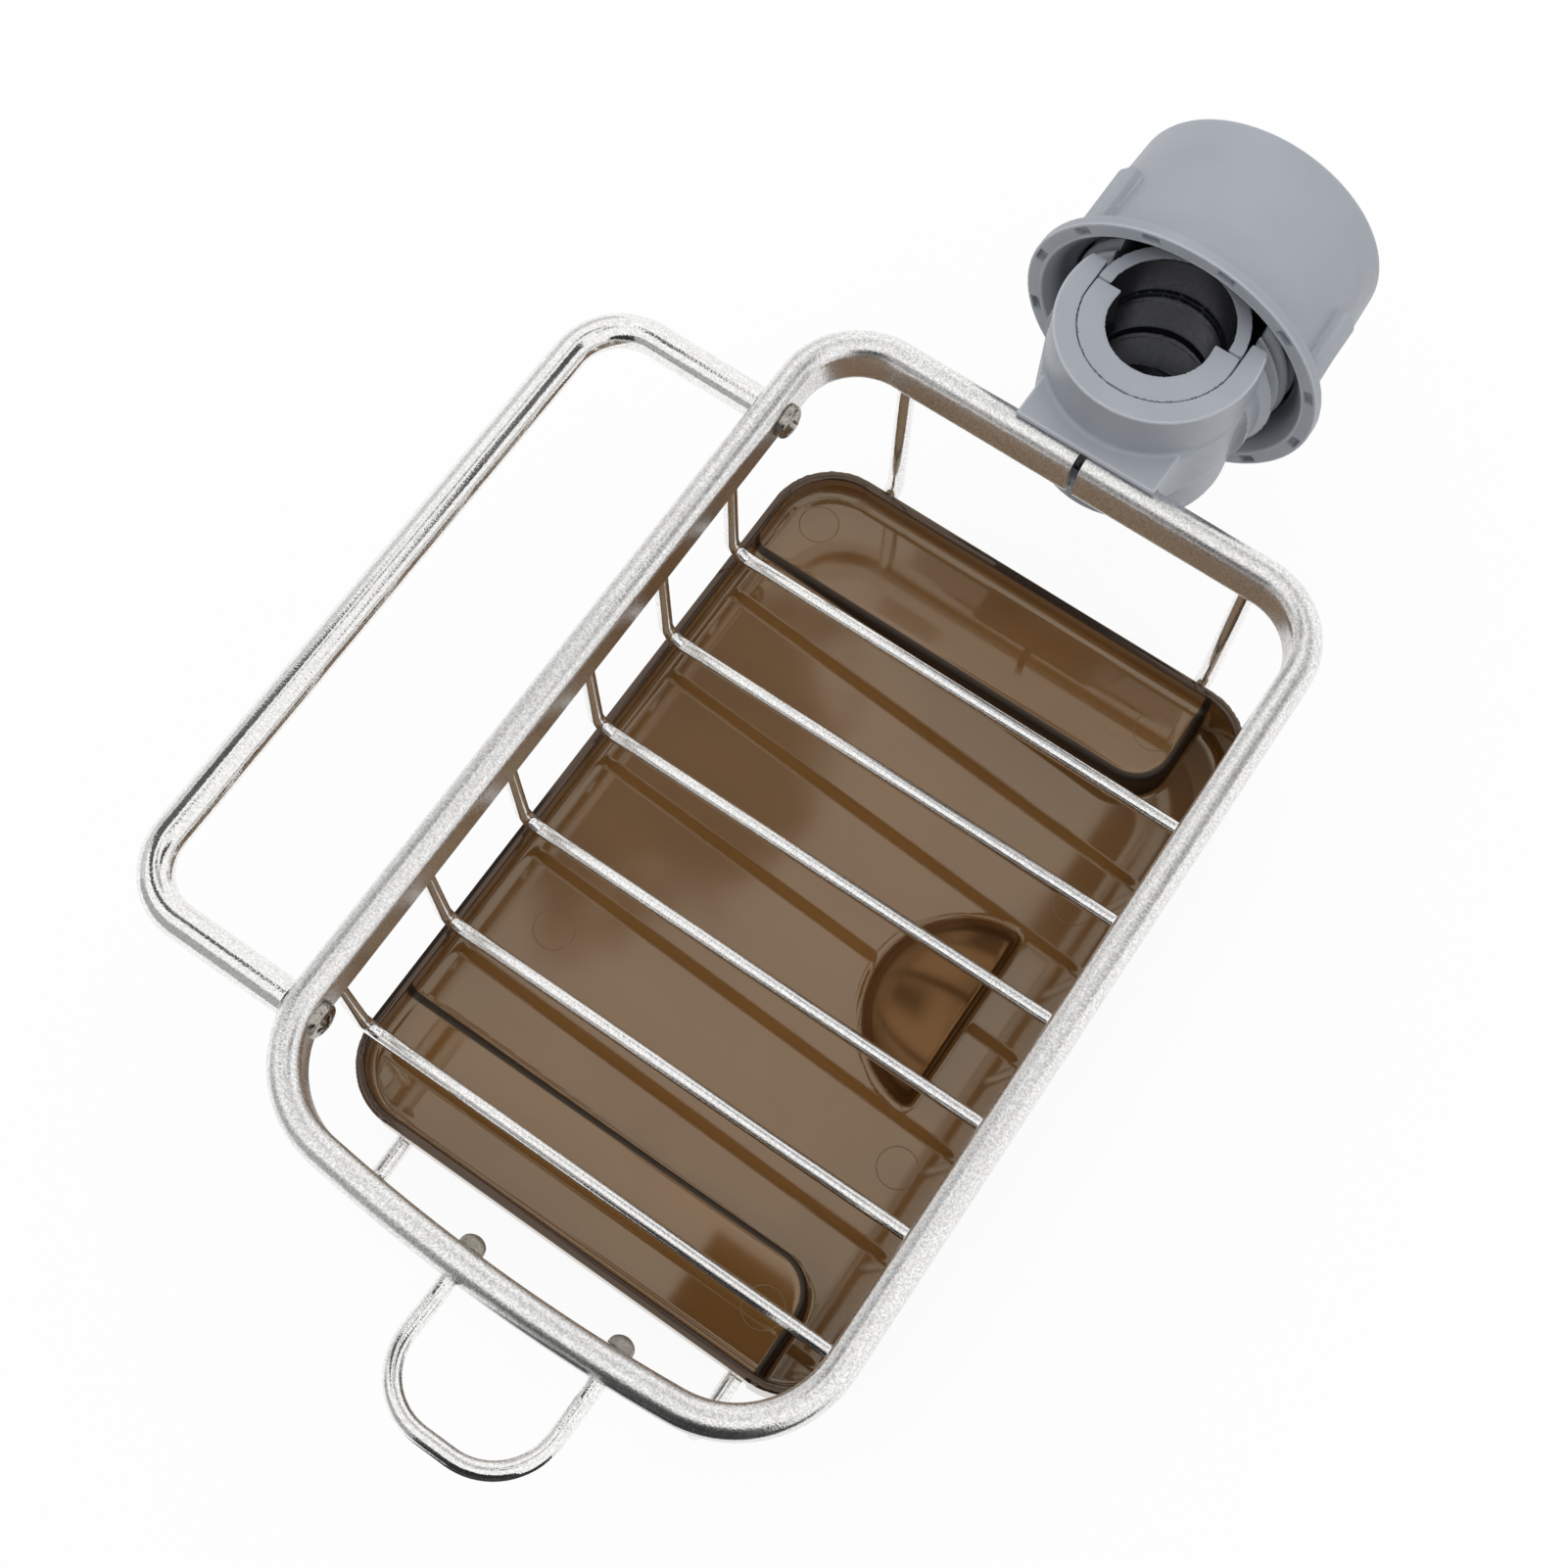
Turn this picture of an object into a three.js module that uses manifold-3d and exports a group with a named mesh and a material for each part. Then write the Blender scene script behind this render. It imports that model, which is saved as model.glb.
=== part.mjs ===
import * as THREE from "three";
import { mergeVertices } from "three/addons/utils/BufferGeometryUtils.js";
import Module from "manifold-3d";

// A sponge rack with a drip tray, clamped to a faucet pipe. Millimetres, +Z up.
// The pipe runs along Z through the origin, the rack reaches out along -Y and the nut lies along +Y.

// Clearances
const seatGap = 0.3; // between pieces that touch
const screwGap = 0.2; // round a screw in its hole
const threadGap = 0.4; // between the stub and the bore of the nut
const slideGap = 0.4; // between the tray and the wires that guide it

// Rim bar
const railSpacing = 93; // between the centre lines of the side rails
const rimLength = 155.6; // between the centre lines of the end rails, at mid width
const pipeToRail = 20.3; // from the pipe's axis to the centre line of the far rail
const railThick = 5;
const railHeight = 10;
const farCornerRadius = 12.5;
const nearCornerRadius = 17.5;
const nearBowDegrees = 5.5; // lean of each half of the near rail
const slitWidth = 1.4;
const pocketDepth = 10; // tenon pocket in each end of the bar
const pocketThick = 2.6;
const pocketHeight = 6.6;

// Wires that carry the sponge
const wireDiameter = 2.5;
const wireDrop = 30; // centre line below mid rail
const wireCount = 6;
const farWireMargin = 31.1;
const nearWireMargin = 22.5;
const pitchGrowth = 0.5; // each pitch is longer than the one before it
const wireBend = 4;
const socketDepth = 3; // of a wire end in the underside of a rail

// Drip tray
const trayFarMargin = 5;
const trayNearMargin = 12;
const trayOverhang = 0.5; // past the centre line of each side rail
const trayCorner = 12;
const trayWall = 1.6;
const trayFloor = 1.7;
const trayHeadroom = 1.75; // from the rim of the tray to the wires above it
const platformLength = 20.3;
const platformDrop = 5; // below the rim of the tray
const platformCorner = 7.5;
const troughDepthLeft = 5.5;
const troughDepthRight = 14.5;
const pullRadius = 17.6;
const pullHeight = 8.4;
const pullFullness = 2.4; // 2 is an ellipsoid, more is flatter on top
const pullSteps = 10;
const pullInset = 16; // from the right side of the tray to the face of the finger pull

// Wires that carry the tray
const cradleDiameter = 3;
const cradleInset = 14; // from the centre line of the side rail
const cradleBend = 4;

// Towel bar
const towelDiameter = 5.7;
const towelReach = 33.2; // from the left rail to the bar
const towelFarMargin = 19;
const towelNearMargin = 16.3;
const towelBend = 10;
const towelScrewDiameter = 3;
const towelHeadDiameter = 6;
const towelHeadHeight = 2.2;
const towelScrewBite = 6; // length inside the rod

// Hook loop
const hookDiameter = 2.8;
const hookOffset = 7.3; // right of mid width
const hookWidth = 25.3; // between the centre lines of the legs
const hookReach = 18.6; // from the outer face of the rail
const hookRootLength = 2.5; // level part of each leg
const hookRise = 3.4;
const hookCorner = 10.2;
const hookRootBend = 6;
const hookScrewDiameter = 1.6;
const hookHeadDiameter = 4;
const hookHeadHeight = 2;
const hookScrewBite = 4.5;

// Pipe clamp
const bossRadius = 17;
const clampHalfHeight = 16;
const clampEdge = 0.6; // chamfer on the rims of the boss
const pocketRadius = 13.25; // seat of the two half sleeves
const bossEnd = 5.7; // the boss stops here, past the pipe's axis
const neckDepth = 1.3; // groove between the shoulder and the thread
const neckLength = 1.9;
const stubEnd = 30;
const saddleHalfWidth = 12.75;
const saddleLip = 1.2; // thickness over and under the rail
const saddleFlare = 4;
const flareTurnDegrees = 14;
const webTop = -1.5;
const lockRibRise = 0.8; // rib that holds the inner sleeve in the boss
const lockRibHalf = 2;

// Half sleeves
const innerBore = 8.7;
const outerBore = 10.7;
const sleeveSplit = 2.2; // the inner sleeve ends here, past the pipe's axis
const gripRise = 0.6;
const gripHalf = 1.4;
const gripPitch = 11;
const stemRadius = 8;
const stemEnd = 24;

// Cup nut
const nutFront = 7.2;
const nutEnd = 37.2;
const flangeRadius = 27;
const flangeThick = 2;
const flangeEdge = 0.6;
const mouthRadius = 24.3;
const mouthDepth = 4.8;
const nutRadius = 23.8; // just behind the flange
const nutWall = 3.2;
const nutTaper = 1.2;
const nutCorner = 1.8;
const nutEndWall = 2.5;
const padRadius = 9;
const notchCount = 12;
const notchWidth = 3;
const notchLength = 1.4;
const notchDepth = 1;
const notchInset = 1.4; // from the flange's edge to the middle of a notch
const notchStartDegrees = 18;
const ribCount = 3;
const ribStartDegrees = 22;
const ribRadius = 2.6;
const ribProud = 1.6;
const ribLength = 14;
const ribEdge = 0.3;

// Sizes that follow from the ones above
const railX = railSpacing / 2;
const farY = -pipeToRail;
const nearY = farY - rimLength;
const railInnerX = railX - railThick / 2;
const railOuterX = railX + railThick / 2;
const railBottom = -railHeight / 2;
const seatTop = railBottom + socketDepth - seatGap;
const wireLevel = -wireDrop;
const trayTop = wireLevel - wireDiameter / 2 - trayHeadroom;
const platformTop = trayTop - platformDrop;
const platformUnder = platformTop - trayFloor;
const cradleLevel = platformUnder - seatGap - cradleDiameter / 2;
const cradleX = railX - cradleInset;
const trayX = railX + trayOverhang;
const trayFarY = farY - trayFarMargin;
const trayNearY = nearY + trayNearMargin;
const farStepY = trayFarY - platformLength;
const nearStepY = trayNearY + platformLength;
const stepX = cradleX + cradleDiameter / 2 + slideGap + trayWall;
const farRunY = farStepY + trayWall + slideGap + cradleDiameter / 2;
const nearRunY = nearStepY - trayWall - slideGap - cradleDiameter / 2;
const sleeveRadius = pocketRadius - seatGap;
const nutBore = nutRadius - nutWall;
const stubRadius = nutBore - threadGap;

const wasm = await Module();
wasm.setup();

// A closed geometry as a body that can be joined and cut.
function solid(geometry) {
  const bare = geometry.clone();
  bare.deleteAttribute("normal");
  bare.deleteAttribute("uv");
  const merged = mergeVertices(bare, 1e-4);
  const triVerts = new Uint32Array(merged.index.array);
  const vertProperties = merged.attributes.position.array;
  return new wasm.Manifold(new wasm.Mesh({ numProp: 3, vertProperties, triVerts }));
}

function box(low, high) {
  const size = high.map((value, axis) => value - low[axis]);
  const centre = high.map((value, axis) => (value + low[axis]) / 2);
  return solid(new THREE.BoxGeometry(...size).translate(...centre));
}

// A plan outline raised from one level to another.
function prism(outline, bottom, top) {
  const options = { depth: top - bottom, bevelEnabled: false, curveSegments: 8 };
  return solid(new THREE.ExtrudeGeometry(outline, options).translate(0, 0, bottom));
}

// An outline in X and Z, run along Y.
function runAlongY(outline, nearEnd, farEnd) {
  const options = { depth: farEnd - nearEnd, bevelEnabled: false };
  const geometry = new THREE.ExtrudeGeometry(outline, options);
  return solid(geometry.rotateX(Math.PI / 2).translate(0, farEnd, 0));
}

// A profile of [radius, height] pairs turned about Y.
function turnedGeometry(profile, sides) {
  const points = profile.map(([radius, height]) => new THREE.Vector2(radius, height));
  return new THREE.LatheGeometry(points, sides);
}

function turnedAboutY(profile, sides) {
  return solid(turnedGeometry(profile, sides));
}

function turnedAboutZ(profile, sides) {
  return solid(turnedGeometry(profile, sides).rotateX(Math.PI / 2));
}

function pinAlongX(radius, from, to, y, z, sides) {
  const geometry = new THREE.CylinderGeometry(radius, radius, to - from, sides);
  return solid(geometry.rotateZ(Math.PI / 2).translate((from + to) / 2, y, z));
}

function pinAlongY(radius, from, to, x, z, sides) {
  const geometry = new THREE.CylinderGeometry(radius, radius, to - from, sides);
  return solid(geometry.translate(x, (from + to) / 2, z));
}

function pinAlongZ(radius, from, to, x, y, sides) {
  const geometry = new THREE.CylinderGeometry(radius, radius, to - from, sides);
  return solid(geometry.rotateX(Math.PI / 2).translate(x, y, (from + to) / 2));
}

// The centre line of a bent rod, with stations at the ends of its straights and along its bends.
class BentRod extends THREE.Curve {
  constructor(stations) {
    super();
    this.stations = stations;
  }

  getPoint(share, target = new THREE.Vector3()) {
    const place = share * (this.stations.length - 1);
    const index = Math.min(Math.floor(place), this.stations.length - 2);
    const [start, end] = [this.stations[index], this.stations[index + 1]];
    return target.lerpVectors(start.point, end.point, place - index);
  }

  getPointAt(share, target) {
    return this.getPoint(share, target);
  }

  getTangentAt(share, target = new THREE.Vector3()) {
    const index = Math.round(share * (this.stations.length - 1));
    return target.copy(this.stations[index].tangent);
  }
}

// The turn of a path at one corner: the angle and the length the bend takes from each straight.
function turnAt(before, corner, after, radius) {
  const arriving = corner.clone().sub(before).normalize();
  const leaving = after.clone().sub(corner).normalize();
  const angle = arriving.angleTo(leaving);
  return { arriving, leaving, angle, taken: radius * Math.tan(angle / 2) };
}

// Stations of a path of straights with a round bend at each inner corner.
function bentStations(corners, radii, stepsPerBend) {
  const points = corners.map((corner) => new THREE.Vector3(...corner));
  const last = points.length - 1;
  const stations = [{ point: points[0], tangent: points[1].clone().sub(points[0]).normalize() }];
  for (let i = 1; i < last; i += 1) {
    const radius = radii[i - 1];
    const { arriving, leaving, angle, taken } = turnAt(points[i - 1], points[i], points[i + 1], radius);
    const inward = leaving.clone().addScaledVector(arriving, -leaving.dot(arriving)).normalize();
    const centre = points[i].clone().addScaledVector(arriving, -taken).addScaledVector(inward, radius);
    for (let step = 0; step <= stepsPerBend; step += 1) {
      const turned = (angle * step) / stepsPerBend;
      const point = centre.clone();
      point.addScaledVector(inward, -radius * Math.cos(turned));
      point.addScaledVector(arriving, radius * Math.sin(turned));
      const tangent = arriving.clone().multiplyScalar(Math.cos(turned));
      tangent.addScaledVector(inward, Math.sin(turned));
      stations.push({ point, tangent });
    }
  }
  stations.push({ point: points[last], tangent: points[last].clone().sub(points[last - 1]).normalize() });
  return stations;
}

function roundSection(diameter, sides) {
  const points = [];
  for (let i = 0; i < sides; i += 1) {
    const angle = (2 * Math.PI * i) / sides;
    points.push(new THREE.Vector2((diameter / 2) * Math.cos(angle), (diameter / 2) * Math.sin(angle)));
  }
  return new THREE.Shape(points);
}

// A bar section with round ends, its height along the first axis of the outline.
function ovalSection(thick, height, stepsPerEnd) {
  const radius = thick / 2;
  const straight = height / 2 - radius;
  const points = [];
  for (const side of [1, -1]) {
    for (let step = 0; step <= stepsPerEnd; step += 1) {
      const angle = Math.PI * (step / stepsPerEnd - 0.5);
      points.push(
        new THREE.Vector2(side * (straight + radius * Math.cos(angle)), side * radius * Math.sin(angle)),
      );
    }
  }
  return new THREE.Shape(points);
}

function sweep(section, stations) {
  const options = { steps: stations.length - 1, extrudePath: new BentRod(stations), bevelEnabled: false };
  return solid(new THREE.ExtrudeGeometry(section, options));
}

const aluminium = new THREE.MeshStandardMaterial({ color: 0xb4aca2, roughness: 0.4, metalness: 1 });
const steel = new THREE.MeshStandardMaterial({ color: 0xd6d8da, roughness: 0.15, metalness: 1 });
const greyPlastic = new THREE.MeshStandardMaterial({ color: 0x8e969f, roughness: 0.65, metalness: 0 });
const smokyPlastic = new THREE.MeshStandardMaterial({ color: 0x6a4a2c, roughness: 0.1, metalness: 0 });

const part = new THREE.Group();
part.name = "faucet_sponge_holder";

function addPiece(name, body, material) {
  const made = body.getMesh();
  const geometry = new THREE.BufferGeometry();
  geometry.setAttribute("position", new THREE.BufferAttribute(new Float32Array(made.vertProperties), 3));
  geometry.setIndex(new THREE.BufferAttribute(new Uint32Array(made.triVerts), 1));
  const piece = new THREE.Mesh(geometry, material);
  piece.name = name;
  part.add(piece);
}

// Rim bar: starts and ends at the slit, and bows outward along the near rail.
const bowAngle = THREE.MathUtils.degToRad(nearBowDegrees);
const nearCornerTurn = Math.PI / 2 - bowAngle;
const nearHalfLength = railX / Math.cos(bowAngle);
const bowTaken = 0.94 * (nearHalfLength - nearCornerRadius * Math.tan(nearCornerTurn / 2));
const bowRadius = bowTaken / Math.tan(bowAngle);
const bowCornerY = nearY - bowRadius * (1 / Math.cos(bowAngle) - 1);
const nearCornerY = bowCornerY + railX * Math.tan(bowAngle);
const rimStations = bentStations(
  [
    [slitWidth / 2, farY, 0],
    [railX, farY, 0],
    [railX, nearCornerY, 0],
    [0, bowCornerY, 0],
    [-railX, nearCornerY, 0],
    [-railX, farY, 0],
    [-slitWidth / 2, farY, 0],
  ],
  [farCornerRadius, nearCornerRadius, bowRadius, nearCornerRadius, farCornerRadius],
  8,
);

// The centre line of the near rail at a place across the rack.
function nearRailY(x) {
  const middleY = (farY + nearY) / 2;
  for (let i = 1; i < rimStations.length; i += 1) {
    const start = rimStations[i - 1].point;
    const end = rimStations[i].point;
    if (start.y < middleY && end.y < middleY && start.x >= x && x >= end.x) {
      return THREE.MathUtils.mapLinear(x, start.x, end.x, start.y, end.y);
    }
  }
  return nearY;
}

const wireSpan = rimLength - farWireMargin - nearWireMargin;
const pitchSteps = wireCount - 1;
const firstPitch = (wireSpan - (pitchGrowth * pitchSteps * (pitchSteps - 1)) / 2) / pitchSteps;
const wireY = [farY - farWireMargin];
for (let i = 0; i < pitchSteps; i += 1) {
  wireY.push(wireY[i] - firstPitch - i * pitchGrowth);
}
const cradles = [
  { name: "cradle_wire_far", legY: farY, runY: farRunY },
  { name: "cradle_wire_near", legY: nearRailY(cradleX), runY: nearRunY },
];
const towelArms = [
  { name: "far", y: farY - towelFarMargin },
  { name: "near", y: nearY + towelNearMargin },
];
const hookLegs = [
  { name: "left", x: hookOffset - hookWidth / 2 },
  { name: "right", x: hookOffset + hookWidth / 2 },
];

let rim = sweep(ovalSection(railThick, railHeight, 6), rimStations);
const pocketHalfLength = slitWidth / 2 + pocketDepth;
const pocketLow = [-pocketHalfLength, farY - pocketThick / 2, -pocketHeight / 2];
const pocketHigh = [pocketHalfLength, farY + pocketThick / 2, pocketHeight / 2];
rim = rim.subtract(box(pocketLow, pocketHigh));
const wireSocket = wireDiameter / 2 + seatGap;
const cradleSocket = cradleDiameter / 2 + seatGap;
const socketTop = railBottom + socketDepth;
for (const side of [-1, 1]) {
  for (const y of wireY) {
    rim = rim.subtract(pinAlongZ(wireSocket, railBottom - 1, socketTop, side * railX, y, 12));
  }
  for (const { legY } of cradles) {
    rim = rim.subtract(pinAlongZ(cradleSocket, railBottom - 1, socketTop, side * cradleX, legY, 12));
  }
}
for (const { y } of towelArms) {
  const holeRadius = towelScrewDiameter / 2 + screwGap;
  const seatRadius = towelHeadDiameter / 2 + seatGap;
  rim = rim.subtract(pinAlongX(holeRadius, -railOuterX - 1, -railInnerX + 1, y, 0, 16));
  rim = rim.subtract(pinAlongX(seatRadius, -railInnerX, -railInnerX + railThick, y, 0, 24));
}
for (const { x } of hookLegs) {
  const holeRadius = hookScrewDiameter / 2 + screwGap;
  const y = nearRailY(x);
  rim = rim.subtract(pinAlongY(holeRadius, y - railThick, y + railThick, x, 0, 12));
}
addPiece("rim_frame", rim, aluminium);

// Wires under the sponge, each with a leg in both side rails
wireY.forEach((y, index) => {
  const corners = [
    [-railX, y, seatTop],
    [-railX, y, wireLevel],
    [railX, y, wireLevel],
    [railX, y, seatTop],
  ];
  const stations = bentStations(corners, [wireBend, wireBend], 5);
  addPiece(`cross_wire_${index + 1}`, sweep(roundSection(wireDiameter, 10), stations), steel);
});

// Wires under the end platforms of the tray
for (const { name, legY, runY } of cradles) {
  const corners = [
    [-cradleX, legY, seatTop],
    [-cradleX, legY, cradleLevel],
    [-cradleX, runY, cradleLevel],
    [cradleX, runY, cradleLevel],
    [cradleX, legY, cradleLevel],
    [cradleX, legY, seatTop],
  ];
  const stations = bentStations(corners, Array(4).fill(cradleBend), 5);
  addPiece(name, sweep(roundSection(cradleDiameter, 12), stations), steel);
}

// Drip tray
function roundedPlan(halfX, lowY, highY, radius) {
  const plan = new THREE.Shape();
  plan.absarc(halfX - radius, highY - radius, radius, 0, Math.PI / 2);
  plan.absarc(-halfX + radius, highY - radius, radius, Math.PI / 2, Math.PI);
  plan.absarc(-halfX + radius, lowY + radius, radius, Math.PI, 1.5 * Math.PI);
  plan.absarc(halfX - radius, lowY + radius, radius, 1.5 * Math.PI, 2 * Math.PI);
  return plan;
}

// The plan of an end platform, with a round corner next to the trough and the rest beyond the tray.
function platformPlan(stepY, outward, face, radius) {
  const beyondX = -2 * trayX;
  const beyondY = stepY + outward * 2 * platformLength;
  const plan = new THREE.Shape();
  plan.moveTo(beyondX, stepY);
  plan.lineTo(face - radius, stepY);
  plan.quadraticCurveTo(face, stepY, face, stepY + outward * radius);
  plan.lineTo(face, beyondY);
  plan.lineTo(beyondX, beyondY);
  return plan;
}

// The space above a plane that slopes across the tray.
function aboveSlope(leftZ, rightZ) {
  const middle = (leftZ + rightZ) / 2;
  const fall = rightZ - leftZ;
  const outline = new THREE.Shape([
    new THREE.Vector2(-2 * trayX, middle - fall),
    new THREE.Vector2(2 * trayX, middle + fall),
    new THREE.Vector2(2 * trayX, trayTop + 1),
    new THREE.Vector2(-2 * trayX, trayTop + 1),
  ]);
  return runAlongY(outline, nearY, farY);
}

const floorLeft = trayTop - troughDepthLeft;
const floorRight = trayTop - troughDepthRight;
const aboveUnderside = aboveSlope(floorLeft - trayFloor, floorRight - trayFloor);
const aboveFloor = aboveSlope(floorLeft, floorRight);
const deepest = floorRight - 2 * trayFloor;
const platforms = [
  { stepY: farStepY, outward: 1 },
  { stepY: nearStepY, outward: -1 },
];
let tray = prism(roundedPlan(trayX, trayNearY, trayFarY, trayCorner), deepest, trayTop);
tray = tray.intersect(aboveUnderside);
const innerPlan = roundedPlan(
  trayX - trayWall,
  trayNearY + trayWall,
  trayFarY - trayWall,
  trayCorner - trayWall,
);
let cavity = prism(innerPlan, deepest, trayTop + 1).intersect(aboveFloor);
for (const { stepY, outward } of platforms) {
  const recessPlan = platformPlan(
    stepY + outward * trayWall,
    outward,
    stepX - trayWall,
    platformCorner - trayWall,
  );
  tray = tray.subtract(prism(recessPlan, deepest - 1, platformUnder));
  cavity = cavity.subtract(prism(platformPlan(stepY, outward, stepX, platformCorner), deepest, platformTop));
}
tray = tray.subtract(cavity);

// Finger pull: half of a flat dome over a hollow that opens below
const pullX = trayX - pullInset;
const pullY = (trayFarY + trayNearY) / 2;
const pullZ = THREE.MathUtils.mapLinear(pullX, -trayX, trayX, floorLeft, floorRight);
function halfDome(inset) {
  const radius = pullRadius - inset;
  const height = pullHeight - inset;
  const profile = [[0, -pullHeight]];
  for (let step = 0; step <= pullSteps; step += 1) {
    const share = Math.cos((Math.PI / 2) * (step / pullSteps));
    profile.push([radius * share, height * (1 - share ** pullFullness) ** (1 / pullFullness)]);
  }
  profile.splice(1, 0, [radius, -pullHeight]);
  const dome = turnedGeometry(profile, 40).rotateX(Math.PI / 2).translate(pullX, pullY, pullZ);
  const low = [pullX - 2 * pullRadius, pullY - 2 * pullRadius, pullZ - 2 * pullHeight];
  const high = [pullX - inset, pullY + 2 * pullRadius, pullZ + 2 * pullHeight];
  return solid(dome).intersect(box(low, high));
}
tray = tray.add(halfDome(0).intersect(aboveUnderside)).subtract(halfDome(trayWall));
addPiece("drip_tray", tray, smokyPlastic);

// Towel bar with tapped ends, and its two screws
const towelEndX = -railOuterX - seatGap;
const towelX = -railX - towelReach;
const towelCorners = [
  [towelEndX, towelArms[0].y, 0],
  [towelX, towelArms[0].y, 0],
  [towelX, towelArms[1].y, 0],
  [towelEndX, towelArms[1].y, 0],
];
const towelStations = bentStations(towelCorners, [towelBend, towelBend], 10);
let towelBar = sweep(roundSection(towelDiameter, 18), towelStations);
for (const { name, y } of towelArms) {
  const holeRadius = towelScrewDiameter / 2 + screwGap;
  const holeEnd = towelEndX - towelScrewBite - seatGap;
  towelBar = towelBar.subtract(pinAlongX(holeRadius, holeEnd, towelEndX + 1, y, 0, 16));
  const headBase = -railInnerX + seatGap;
  const head = turnedGeometry(
    [
      [0, 0],
      [towelHeadDiameter / 2, 0],
      [towelHeadDiameter / 2, 0.35 * towelHeadHeight],
      [0.42 * towelHeadDiameter, 0.75 * towelHeadHeight],
      [0.25 * towelHeadDiameter, 0.95 * towelHeadHeight],
      [0, towelHeadHeight],
    ],
    24,
  );
  head.rotateZ(-Math.PI / 2).translate(headBase, y, 0);
  const shank = pinAlongX(towelScrewDiameter / 2, towelEndX - towelScrewBite, headBase + 0.5, y, 0, 16);
  addPiece(`towel_screw_${name}`, solid(head).add(shank), steel);
}
addPiece("towel_bar", towelBar, steel);

// Hook loop with tapped ends, and its two screws
const hookRoots = hookLegs.map(({ x }) => nearRailY(x) - railThick / 2 - seatGap);
const hookEndY = nearY - railThick / 2 - hookReach;
const hookCorners = [
  [hookLegs[0].x, hookRoots[0], 0],
  [hookLegs[0].x, hookRoots[0] - hookRootLength, 0],
  [hookLegs[0].x, hookEndY, hookRise],
  [hookLegs[1].x, hookEndY, hookRise],
  [hookLegs[1].x, hookRoots[1] - hookRootLength, 0],
  [hookLegs[1].x, hookRoots[1], 0],
];
const hookStations = bentStations(hookCorners, [hookRootBend, hookCorner, hookCorner, hookRootBend], 7);
let hookLoop = sweep(roundSection(hookDiameter, 12), hookStations);
hookLegs.forEach(({ name, x }, index) => {
  const rootY = hookRoots[index];
  const holeRadius = hookScrewDiameter / 2 + screwGap;
  const holeEnd = rootY - hookScrewBite - seatGap;
  hookLoop = hookLoop.subtract(pinAlongY(holeRadius, holeEnd, rootY + 1, x, 0, 12));
  const headBase = nearRailY(x) + railThick / 2 + seatGap;
  const head = turnedGeometry(
    [
      [0, 0],
      [hookHeadDiameter / 2, 0],
      [0.46 * hookHeadDiameter, 0.45 * hookHeadHeight],
      [0.32 * hookHeadDiameter, 0.8 * hookHeadHeight],
      [0, hookHeadHeight],
    ],
    20,
  );
  head.translate(x, headBase, 0);
  const shank = pinAlongY(hookScrewDiameter / 2, rootY - hookScrewBite, headBase + 0.5, x, 0, 12);
  addPiece(`hook_screw_${name}`, solid(head).add(shank), steel);
});
addPiece("hook_loop", hookLoop, steel);

// Clamp body: saddle behind the rail, upright boss, and a stub split by the slot for the pipe
const through = 2 * clampHalfHeight;
let clampBody = turnedAboutZ(
  [
    [0, -clampHalfHeight],
    [bossRadius - clampEdge, -clampHalfHeight],
    [bossRadius, -clampHalfHeight + clampEdge],
    [bossRadius, clampHalfHeight - clampEdge],
    [bossRadius - clampEdge, clampHalfHeight],
    [0, clampHalfHeight],
  ],
  64,
);
clampBody = clampBody.subtract(box([-through, bossEnd, -through], [through, through, through]));
clampBody = clampBody.add(
  turnedAboutY(
    [
      [0, 0],
      [bossRadius - clampEdge, 0],
      [stubRadius, bossEnd],
      [stubRadius - neckDepth, bossEnd],
      [stubRadius - neckDepth, bossEnd + neckLength],
      [stubRadius, bossEnd + neckLength],
      [stubRadius, stubEnd - clampEdge],
      [stubRadius - clampEdge, stubEnd],
      [0, stubEnd],
    ],
    64,
  ),
);
const meetAngle = Math.acos(saddleHalfWidth / bossRadius);
const meetY = -bossRadius * Math.sin(meetAngle);
const flareAngle = meetAngle - THREE.MathUtils.degToRad(flareTurnDegrees);
const flareX = bossRadius * Math.cos(flareAngle);
const flareY = -bossRadius * Math.sin(flareAngle);
const saddlePlan = new THREE.Shape();
saddlePlan.moveTo(-saddleHalfWidth, farY);
saddlePlan.lineTo(saddleHalfWidth, farY);
saddlePlan.lineTo(saddleHalfWidth, meetY - saddleFlare);
saddlePlan.quadraticCurveTo(saddleHalfWidth, meetY, flareX, flareY);
saddlePlan.lineTo(-flareX, flareY);
saddlePlan.quadraticCurveTo(-saddleHalfWidth, meetY, -saddleHalfWidth, meetY - saddleFlare);
const saddleHalfHeight = railHeight / 2 + saddleLip;
clampBody = clampBody.add(prism(saddlePlan, -saddleHalfHeight, saddleHalfHeight));
const railSeat = ovalSection(railThick + 2 * seatGap, railHeight + 2 * seatGap, 6);
const seatEnds = [
  [-saddleHalfWidth - 1, farY, 0],
  [saddleHalfWidth + 1, farY, 0],
];
clampBody = clampBody.subtract(sweep(railSeat, bentStations(seatEnds, [], 1)));
const lockRib = pocketRadius + lockRibRise;
clampBody = clampBody.subtract(
  turnedAboutZ(
    [
      [0, -through],
      [pocketRadius, -through],
      [pocketRadius, -lockRibHalf - lockRibRise],
      [lockRib, -lockRibHalf],
      [lockRib, lockRibHalf],
      [pocketRadius, lockRibHalf + lockRibRise],
      [pocketRadius, through],
      [0, through],
    ],
    64,
  ),
);
clampBody = clampBody.subtract(box([-pocketRadius, 0, -through], [pocketRadius, 2 * stubEnd, through]));
const webHalf = slitWidth / 2 - seatGap;
const webLow = [-webHalf, farY - pocketThick / 2 + seatGap, railBottom];
const webHigh = [webHalf, farY + railThick, webTop];
clampBody = clampBody.add(box(webLow, webHigh));
const tenonLow = pocketLow.map((value) => value + seatGap);
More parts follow.
